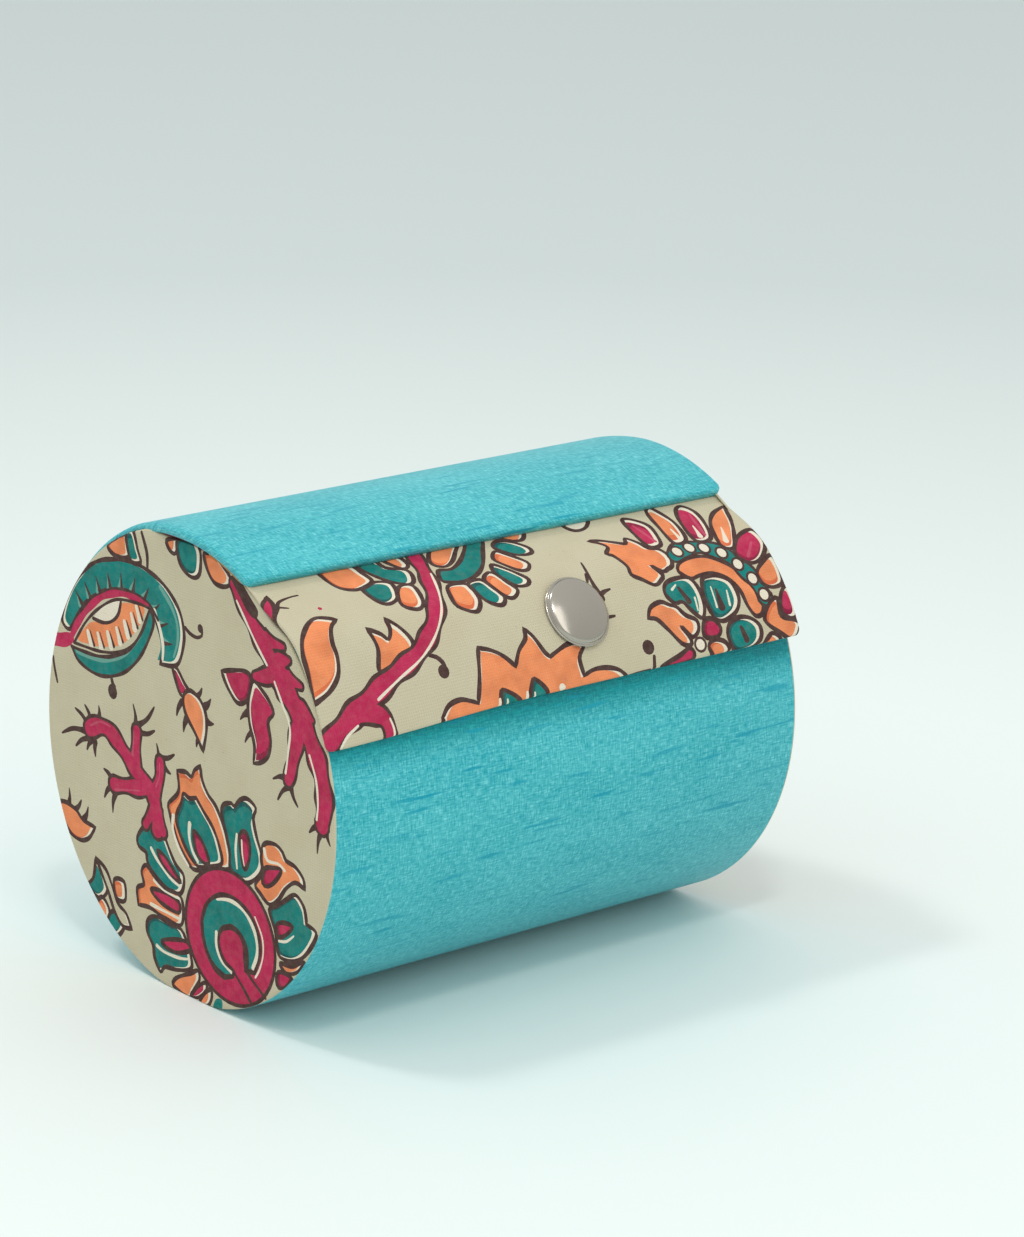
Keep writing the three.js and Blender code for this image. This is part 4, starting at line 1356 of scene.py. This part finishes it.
def on_disc(flat, side):
    """Flat cloth put over one end's disc and turned over its rim."""
    reach = np.hypot(*flat.T)
    edge = disc_edge(np.arctan2(flat[:, 1], flat[:, 0]))
    out, down = over_rim(np.maximum(reach - edge, 0), RIM_ROUND)
    scale = (np.minimum(reach, edge) + out) / np.maximum(reach, 1e-9)
    across, up = (flat * scale[:, None] * MM).T
    height = flattened(AXIS_HEIGHT + up, DRUM_RADIUS - DISC_RADIUS - DISC_COVER * MM)
    return np.stack([side * (DISC_FACE - down * MM), side * across, height], 1)


def end_print(side, label):
    """Printed cotton over one end, turned over its rim."""
    p = Print()
    if side > 0:
        p.lay(158, (3, -2))
    crescent(p)
    top_petals(p)
    thorny_bud(p)
    half_leaf(p)
    small_flower(p)
    thorny_branch(p)
    lotus(p)
    coral(p)
    bends = [disc_ring(RIM_ROUND * share * math.pi / 2) for share in (0, 0.25, 0.5, 0.75, 1)]
    border = disc_ring(RIM_TURN, GLUED_TURN)
    name = f"end_cloth_{label}"
    mesh = cut_cloth(name, border, bends, lambda flat: on_disc(flat, side), p.shapes)
    obj = placed(name, mesh, cotton, "body", [f"end_print_{label}"])
    return thickened(obj, COTTON)


end_print(-1, "left")
end_print(1, "right")


# The flap: x along the drum and t down from the lid's front edge, in millimetres

FLAP_PITCH = 0.864
FLAP_LENGTH = (LID_FRONT - FLAP_EDGE) * FLAP_PITCH
FLAP_LEAVES_LID = 60.9
FLAP_HANG = 1.4
HANG_DEPTHS = (24, 35)
RIGHT_END = (18, 60)
LEFT_END = (-8, -58)
RIGHT_LIFT = 1.05
LEFT_SINK = 1.15
SLACK_ANGLES = (50, 20)
TONGUE = 15.5
TONGUE_SPREAD = 0.6
TONGUE_WIDENS = (-2.2, -3.7)
RAW_EDGE = (59.2, 64.0)
RAW_FOOT = -1.6
FLAP_CORNER = 1.5
FLAP_EDGE_ROUND = 0.55
TONGUE_EDGE_ROUND = 0.25
EDGE_THICKENS = 6
FLAP_TURN_IN = 1.2
BEND_PITCH = 0.8
LAYER_PITCH = 0.9
FOLD_BENDS = np.linspace(0.15, 1.35, 7)
CROSS_BENDS = np.arange(-60, 61, 6.0)
PAST_FLAP = 5
SNAP_X = 6.0
SNAP_ANGLE = 36.4
SNAP_DOWN = (LID_FRONT - SNAP_ANGLE) * FLAP_PITCH
BARREL_HOLE = 3.85


def flap_radius(x, angle):
    """The flap's outer face: level low down, rising under the lid, slack at its two ends."""
    level = FLAP_ROOT + (FLAP_FACE - FLAP_ROOT) * rise(angle, FLAP_LEAVES_LID, FLAP_LEVEL)
    slack = RIGHT_LIFT * rise(x, *RIGHT_END) - LEFT_SINK * rise(x, *LEFT_END)
    return level + slack * rise(angle, *SLACK_ANGLES) * MM


def on_flap(flat, depth=0.0):
    """Points of the flat flap put on the box, at a depth under its face."""
    x, t = flat.T
    hang = FLAP_HANG * rise(x, *LEFT_END) * rise(t, *HANG_DEPTHS)
    spread = 1 + TONGUE_SPREAD / FLAP_HALF * MM * rise(t, *TONGUE_WIDENS)
    angle = LID_FRONT - (t + hang) / FLAP_PITCH
    return on_drum(x * spread * MM, angle, flap_radius(x, angle) - depth * MM)


def flap_frame(margin):
    """The flap's outline, a margin past the straight lines through its corners' centres."""
    half = FLAP_HALF / MM - FLAP_CORNER
    top, foot = FLAP_CORNER - TONGUE, FLAP_LENGTH - FLAP_CORNER
    turn = np.linspace(0, math.pi / 2, 7)
    corner = margin * np.stack([np.cos(turn), np.sin(turn)], 1)
    quarters = []
    for spin, centre in enumerate(((half, foot), (-half, foot), (-half, top), (half, top))):
        cos, sin = round(math.cos(spin * math.pi / 2)), round(math.sin(spin * math.pi / 2))
        quarters.append(corner @ np.array([[cos, sin], [-sin, cos]]) + centre)
    return np.concatenate(quarters)


def wrapped_flap(flat):
    """The flap's cloth put on the box and turned round its edges."""
    half = FLAP_HALF / MM - FLAP_CORNER
    low = np.array([-half, FLAP_CORNER - TONGUE])
    high = np.array([half, FLAP_LENGTH - FLAP_CORNER])
    core = np.clip(flat, low, high)
    away = flat - core
    past = np.linalg.norm(away, axis=1)
    way = away / np.maximum(past, 1e-9)[:, None]
    thicker = rise(flat[:, 1], 0, EDGE_THICKENS)
    rounding = TONGUE_EDGE_ROUND + (FLAP_EDGE_ROUND - TONGUE_EDGE_ROUND) * thicker
    level = FLAP_CORNER - FLAP_EDGE_ROUND
    over = np.maximum(past - level, 0)
    scaled = over * rounding / FLAP_EDGE_ROUND
    turn = np.clip(scaled / rounding, 0, math.pi)
    out = np.minimum(past, level) + rounding * np.sin(turn) - np.maximum(scaled - math.pi * rounding, 0)
    depth = rounding * (1 - np.cos(turn))
    return on_flap(core + way * out[:, None], depth)


def flap_cloth():
    """Printed cotton from under the lid, over the fold and round the flap's edges."""
    p = Print()
    top, foot = -TONGUE - PAST_FLAP, FLAP_LENGTH + PAST_FLAP
    inner, outer = RAW_EDGE
    for side in (-1, 1):
        raw_edge = np.array([(inner, top + 1), (outer, top + 1), (outer, RAW_FOOT), (inner, RAW_FOOT)])
        p.add("raw", raw_edge * (side, 1))
    flap_leaves(p)
    flap_flower(p)
    flap_spikes(p)
    flap_rosette(p)
    level = FLAP_CORNER - FLAP_EDGE_ROUND
    border = flap_frame(level + FLAP_EDGE_ROUND * math.pi + FLAP_TURN_IN)
    bends = [flap_frame(level + FLAP_EDGE_ROUND * math.pi * share) for share in (0, 0.2, 0.4, 0.6, 0.8, 1)]
    reach = FLAP_HALF / MM + 8
    for t in np.arange(top + 2, foot, BEND_PITCH):
        bends.append(np.array([[-reach, t], [reach, t]]))
    for x in CROSS_BENDS:
        bends.append(np.array([[x, top], [x, foot]]))
    for t in FOLD_BENDS:
        bends.append(np.array([[-reach, t], [reach, t]]))
    hole = circle(BARREL_HOLE, 24, (SNAP_X, SNAP_DOWN))
    mesh = cut_cloth("flap_cloth", border, bends, wrapped_flap, p.shapes, [hole])
    mesh.flip_normals()
    obj = placed("flap_cloth", mesh, cotton, None, ["flap_print", "flap_tongue"])
    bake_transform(obj)
    return thickened(obj, COTTON)


def flap_layer(name, material, node_name, depth, thickness, inset, top):
    """A flat layer inside the flap, bent with it."""
    half = FLAP_HALF / MM - inset
    foot = FLAP_LENGTH - inset
    border = np.array([[-half, top], [half, top], [half, foot], [-half, foot]])
    bends = [np.array([[-half, t], [half, t]]) for t in np.arange(top, foot, LAYER_PITCH)]
    bends += [np.array([[x, top], [x, foot]]) for x in CROSS_BENDS]
    hole = circle(BARREL_HOLE, 24, (SNAP_X, SNAP_DOWN))
    mesh = cut_cloth(name, border, bends, lambda flat: on_flap(flat, depth), holes=[hole])
    mesh.flip_normals()
    return thickened(placed(name, mesh, material, "flap", [node_name]), thickness)


flap_cloth()
flap_layer(
    "flap_card", card, "flap_board",
    depth=0.32, thickness=0.5 * MM, inset=0.6, top=7.0,
)
flap_layer(
    "flap_backing", velvet, "flap_lining",
    depth=0.88, thickness=0.22 * MM, inset=1.6, top=7.4,
)


# Linings


WALL_LINING = (-178.8, 43.2)
WALL_LINING_RADIUS = 46.95 * MM
LID_LINING = (81.3, 178.4)
LID_LINING_RADIUS = 47.7 * MM
LID_CARD = (65.6, 178.4)
LID_CARD_RADIUS = 49.3 * MM
LID_CARD_THICKNESS = 1.5 * MM
STRIP = 1.6


def curved_layer(name, node_name, body, angles, radius, width_at, made_of):
    """A thin layer bent to the drum, of a material, a slot that is not used, and a thickness."""
    material, slot, thickness = made_of
    strips = math.ceil((angles[1] - angles[0]) / STRIP)
    bm = flat_grid(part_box(node_name)[1].x, arc_of(angles[0]), arc_of(angles[1]), 2, strips)
    bent(bm, lambda angle: radius, width_at)
    return thickened(placed(name, from_bmesh(name, bm), material, body, [node_name]), thickness)


def lining_sheet(name, node_name, body, angles, radius, width_at=full_width):
    """A thin velvet lining bent to the drum, between two angles."""
    return curved_layer(name, node_name, body, angles, radius, width_at, (velvet, "velvet", LINING))


def lining_disc(side, label):
    """A thin velvet lining on one end's inside."""
    low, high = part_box(f"end_lining_{label}")
    name = f"end_velvet_{label}"
    bm = bmesh.new()
    bmesh.ops.create_circle(bm, cap_ends=True, radius=high.y, segments=96)
    outer = high.x if side > 0 else -low.x
    for vert in bm.verts:
        height = flattened(AXIS_HEIGHT + vert.co.y, low.z)
        vert.co = Vector((side * outer, side * vert.co.x, height))
    obj = placed(name, from_bmesh(name, bm), velvet, "body", [f"end_lining_{label}"])
    return thickened(obj, LINING)


lining_sheet("wall_velvet", "body_lining", "body", WALL_LINING, WALL_LINING_RADIUS)
lining_sheet("lid_velvet", "lid_lining", "lid", LID_LINING, LID_LINING_RADIUS, lid_width)
lid_board = (card, "grey_board", LID_CARD_THICKNESS)
curved_layer("lid_card", "lid_board", "lid", LID_CARD, LID_CARD_RADIUS, lid_width, lid_board)
lining_disc(-1, "left")
lining_disc(1, "right")


# Turned pieces


def spun(name, profile, place, steps=64):
    """A closed body turned from a profile of (radius, height) in millimetres."""
    bm = bmesh.new()
    verts = [bm.verts.new((radius * MM, 0, height * MM)) for radius, height in profile]
    edges = [bm.edges.new(pair) for pair in zip(verts, verts[1:])]
    bmesh.ops.spin(
        bm,
        geom=verts + edges,
        cent=(0, 0, 0),
        axis=(0, 0, 1),
        angle=math.tau,
        steps=steps,
        use_merge=True,
    )
    bmesh.ops.remove_doubles(bm, verts=bm.verts, dist=MERGE)
    bmesh.ops.recalc_face_normals(bm, faces=bm.faces)
    bmesh.ops.transform(bm, matrix=place, verts=bm.verts)
    return from_bmesh(name, bm)


def low_dome(radius, top, foot, count):
    """The profile of a shallow round dome, from its middle to its foot."""
    rise = top - foot
    ball = (radius * radius + rise * rise) / (2 * rise)
    return [(r, top - ball + math.sqrt(ball * ball - r * r)) for r in np.linspace(0, radius, count)]


def lifted(profile, level):
    """A profile of (radius, height) moved up to a level."""
    return [(radius, level + height) for radius, height in profile]


# How far from the drum's axis the press stud's pieces sit, in millimetres
CAP_SEAT = FLAP_FACE / MM + 0.2
FLAP_BACK = 49.2
STUD_SEAT = 48.6
POST_HEAD = 45.8


def snap_pieces():
    """The press stud: cap and socket on the flap, stud and post on the front wall."""
    turn = math.radians(SNAP_ANGLE)
    outwards = Vector((0, -math.cos(turn), math.sin(turn)))
    tilt = outwards.to_track_quat("Z", "Y").to_matrix().to_4x4()
    place = Matrix.Translation((SNAP_X * MM, 0, AXIS_HEIGHT)) @ tilt
    dome = low_dome(6.3, CAP_SEAT + 2.75, CAP_SEAT + 1.35, 18)
    bead = [
        (6.58, 1.2), (6.8, 1.02), (6.94, 0.78), (7, 0.52), (7.1, 0.44), (7.26, 0.46), (7.42, 0.38),
        (7.5, 0.24), (7.44, 0.1), (7.3, 0.02), (7.1, 0), (3.7, 0),
    ]
    barrel = [(3.7, FLAP_BACK), (3.1, FLAP_BACK), (3.1, CAP_SEAT + 1.4), (0, CAP_SEAT + 1.4)]
    cap = spun("stud_cap", [*dome, *lifted(bead, CAP_SEAT), *barrel], place, 96)
    placed("stud_cap", cap, nickel, "flap", ["snap_cap"])
    ring = [(3.78, 0), (4.5, 0), (4.6, 0.1), (4.6, 0.2), (4.5, 0.3), (3.78, 0.3), (3.78, 0)]
    socket = spun("stud_ring", lifted(ring, FLAP_BACK), place)
    placed("stud_ring", socket, nickel, "flap", ["snap_socket"])
    ball = [
        (0, 2.7), (1.8, 2.68), (2.3, 2.5), (2.7, 2.15), (2.8, 1.9), (2.7, 1.6), (2.45, 1.2), (2.4, 0.5),
        (2.6, 0.32), (4.8, 0.28), (5, 0.15), (4.95, 0.02), (2.1, 0), (2.1, 1.6), (0, 1.6),
    ]
    stud = spun("stud_ball", lifted(ball, STUD_SEAT), place)
    placed("stud_ball", stud, nickel, "body", ["snap_stud"])
    rivet = [
        (0, 0), (4.2, 0.05), (4.45, 0.2), (4.45, 0.35), (4.2, 0.5), (1.8, 0.5), (1.8, 4.3), (0, 4.3),
    ]
    post = spun("stud_post", lifted(rivet, POST_HEAD), place)
    placed("stud_post", post, nickel, "body", ["snap_post"])


snap_pieces()


ROD_PUCKER = 0.35 * MM
ROD_PUCKERS = 26
ROD_PUCKER_LENGTH = 9
ROD_SHOULDER = 3.0
ROD_BORE = 16.2
PEG_INNER = 43.9
PEG_PLUG = 14.0
PEG_PIN = 7.0
PEG_FLANGE = (51.9, 53.0)
PEG_CHAMFER = 0.4
PEG_FLANGE_CHAMFER = 0.35
PEG_TIP_CHAMFER = 0.6


def rod_pieces():
    """The bangle rod: a padded velvet roll with a turned peg in each end."""
    radius, half = ROD_HIGH.y / MM, ROD_HIGH.x / MM
    centre = (ROD_LOW.z + ROD_HIGH.z) / 2
    middle = Matrix.Translation((0, 0, centre)) @ Matrix.Rotation(math.pi / 2, 4, "Y")
    end_round = [
        (radius - ROD_SHOULDER * (1 - math.cos(a)), half - ROD_SHOULDER * (1 - math.sin(a)))
        for a in np.linspace(0, math.pi / 2, 6)
    ]
    side = [(radius, height) for height in np.linspace(0, half - ROD_SHOULDER, 18)]
    upper = [*side[:-1], *end_round, (ROD_BORE, half - 0.2)]
    profile = [(r, -h) for r, h in upper[:0:-1]] + upper
    mesh = spun("rod_cover", [*profile, profile[0]], middle, 96)
    bm = bmesh.new()
    bm.from_mesh(mesh)
    for vert in bm.verts:
        y, z = vert.co.y, vert.co.z - centre
        reach = math.hypot(y, z)
        near_end = float(rise(abs(vert.co.x) / MM, half - ROD_PUCKER_LENGTH, half))
        on_cloth = reach > (ROD_BORE + 0.8) * MM
        pucker = near_end * math.sin(ROD_PUCKERS * math.atan2(z, y)) if on_cloth else 0
        swell = 1 + (pucker - 1) * ROD_PUCKER / max(reach, 1e-9)
        vert.co = Vector((vert.co.x, y * swell, centre + z * swell))
    bm.to_mesh(mesh)
    bm.free()
    roll = placed("rod_cover", mesh, velvet, "rod", ["rod_velvet", "rod_foam"])

    flange, collar = PEG_FLANGE
    rim, outer = PEG_HIGH.y / MM, PEG_HIGH.x / MM
    peg = [
        (0, PEG_INNER), (PEG_PLUG - PEG_CHAMFER, PEG_INNER), (PEG_PLUG, PEG_INNER + PEG_CHAMFER),
        (PEG_PLUG, flange), (rim - PEG_FLANGE_CHAMFER, flange), (rim, flange + PEG_FLANGE_CHAMFER),
        (rim, collar - PEG_FLANGE_CHAMFER), (rim - PEG_FLANGE_CHAMFER, collar),
        (PEG_PIN + PEG_CHAMFER, collar), (PEG_PIN, collar + PEG_CHAMFER),
        (PEG_PIN, outer - PEG_TIP_CHAMFER), (PEG_PIN - PEG_TIP_CHAMFER, outer), (0, outer),
    ]
    for sign, label in ((-1, "left"), (1, "right")):
        turn = middle @ Matrix.Diagonal((1, 1, sign, 1))
        name = f"rod_peg_{label}"
        placed(name, spun(name, peg, turn), wood, "rod", [f"rod_end_{label}"])


rod_pieces()


SADDLE_ROUND = 0.25 * MM
SADDLE_CORNER = 0.9
LEVEL_ANGLE = 0.01


def saddles():
    """The U-shaped card seats, with softened edges."""
    for label in ("left", "right"):
        source = frame["nodes"][f"rod_saddle_{label}"]
        bm = bmesh.new()
        bm.from_mesh(source.data)
        bmesh.ops.remove_doubles(bm, verts=bm.verts, dist=MERGE)
        bmesh.ops.dissolve_limit(bm, angle_limit=LEVEL_ANGLE, verts=bm.verts, edges=bm.edges)
        sharp = [edge for edge in bm.edges if edge.is_manifold and edge.calc_face_angle() > SADDLE_CORNER]
        rounded(bm, sharp, SADDLE_ROUND, 2)
        name = f"saddle_{label}"
        placed(name, from_bmesh(name, bm), card, "body", [f"rod_saddle_{label}"])


saddles()

for name in ("end_board_left", "end_board_right", "body_shell_board", "rod_tube"):
    board = frame["nodes"][name]
    board.data.materials.clear()
    board.data.materials.append(card)


# The set: a pale floor, soft daylight and a camera where the photograph was taken


def pale_floor():
    """A wide pale floor with a painted fall-off of light: lighter round the box, greyer further out."""
    bm = bmesh.new()
    bmesh.ops.create_circle(bm, cap_ends=True, radius=6, segments=96)
    mesh = from_bmesh("floor", bm)
    material, tree, shader = new_material("floor")
    place = node(tree, "ShaderNodeTexCoord").outputs["Object"]
    away = node(tree, "ShaderNodeVectorMath", {0: place}, operation="LENGTH").outputs["Value"]
    # Painted fall-off of light: the floor's colour greys with distance from the box
    tone = blended(tree, ranged(tree, away, 0.2, 0.7), linear(230, 238, 235), linear(205, 215, 213))
    tree.links.new(tone, shader.inputs["Base Color"])
    shader.inputs["Roughness"].default_value = 0.6
    shader.inputs["Specular IOR Level"].default_value = 0.2
    mesh.materials.append(material)
    obj = bpy.data.objects.new("floor", mesh)
    SCENE.collection.objects.link(obj)


def soft_lamp(name, place, aim, size, power, colour):
    """A soft lamp of a width and height, pointed at a spot."""
    data = bpy.data.lights.new(name, "AREA")
    data.shape = "RECTANGLE"
    data.size, data.size_y = size
    data.energy = power
    data.color = colour
    lamp = bpy.data.objects.new(name, data)
    lamp.location = place
    lamp.rotation_euler = (Vector(aim) - Vector(place)).to_track_quat("-Z", "Y").to_euler()
    SCENE.collection.objects.link(lamp)


def daylight():
    """A pale room, a little brighter above than at the height of the box."""
    world = bpy.data.worlds.new("daylight")
    SCENE.world = world
    world.use_nodes = True
    tree = world.node_tree
    tree.nodes.clear()
    way = node(tree, "ShaderNodeTexCoord").outputs["Generated"]
    towards = node(tree, "ShaderNodeVectorMath", {0: way, 1: (0.05, 0.15, 0.99)}, operation="DOT_PRODUCT")
    near = ranged(tree, towards.outputs["Value"], -0.6, 1.0)
    share = maths(tree, "POWER", near, 2.0)
    tone = blended(tree, share, (0.7, 0.715, 0.71, 1.0), (0.9, 0.93, 0.93, 1.0))
    sky = node(tree, "ShaderNodeBackground", {"Color": tone, "Strength": 1.0})
    output = tree.nodes.new("ShaderNodeOutputWorld")
    tree.links.new(sky.outputs[0], output.inputs[0])


# The photograph's viewpoint: azimuth, elevation and roll in degrees, lengths in millimetres
CAMERA_ANGLES = (-39.98, 16.01, 0.62)
CAMERA_TARGET = (23.79, 0, 64.21)
CAMERA_DISTANCE = 888.84
CAMERA_LENS = 123.73
CAMERA_SENSOR = 36


def photo_camera():
    """The camera, at the photograph's viewpoint."""
    azimuth, elevation, roll = (math.radians(angle) for angle in CAMERA_ANGLES)
    target = Vector(CAMERA_TARGET) * MM
    back = Vector(
        (
            math.sin(azimuth) * math.cos(elevation),
            -math.cos(azimuth) * math.cos(elevation),
            math.sin(elevation),
        )
    )
    right = Vector((0, 0, 1)).cross(back).normalized()
    up = back.cross(right)
    basis = Matrix((right, up, back)).transposed() @ Matrix.Rotation(roll, 3, "Z")
    data = bpy.data.cameras.new("camera")
    data.lens = CAMERA_LENS
    data.sensor_width = CAMERA_SENSOR
    camera = bpy.data.objects.new("camera", data)
    camera.matrix_world = Matrix.Translation(target + back * CAMERA_DISTANCE * MM) @ basis.to_4x4()
    SCENE.collection.objects.link(camera)
    SCENE.camera = camera


pale_floor()
daylight()
soft_lamp("ceiling_front", (-0.5, -0.76, 1.5), (0, 0, 0.04), (0.2, 0.2), 4.0, (1.0, 0.99, 0.97))
soft_lamp("ceiling_back", (-0.46, 0.52, 1.5), (0, 0, 0.04), (0.2, 0.2), 4.4, (1.0, 0.99, 0.97))
soft_lamp("window", (-0.2, -1.1, 0.85), (0, 0, 0.06), (0.38, 1.2), 2.1, (0.98, 1.0, 1.0))
photo_camera()
SCENE.view_settings.view_transform = "Standard"
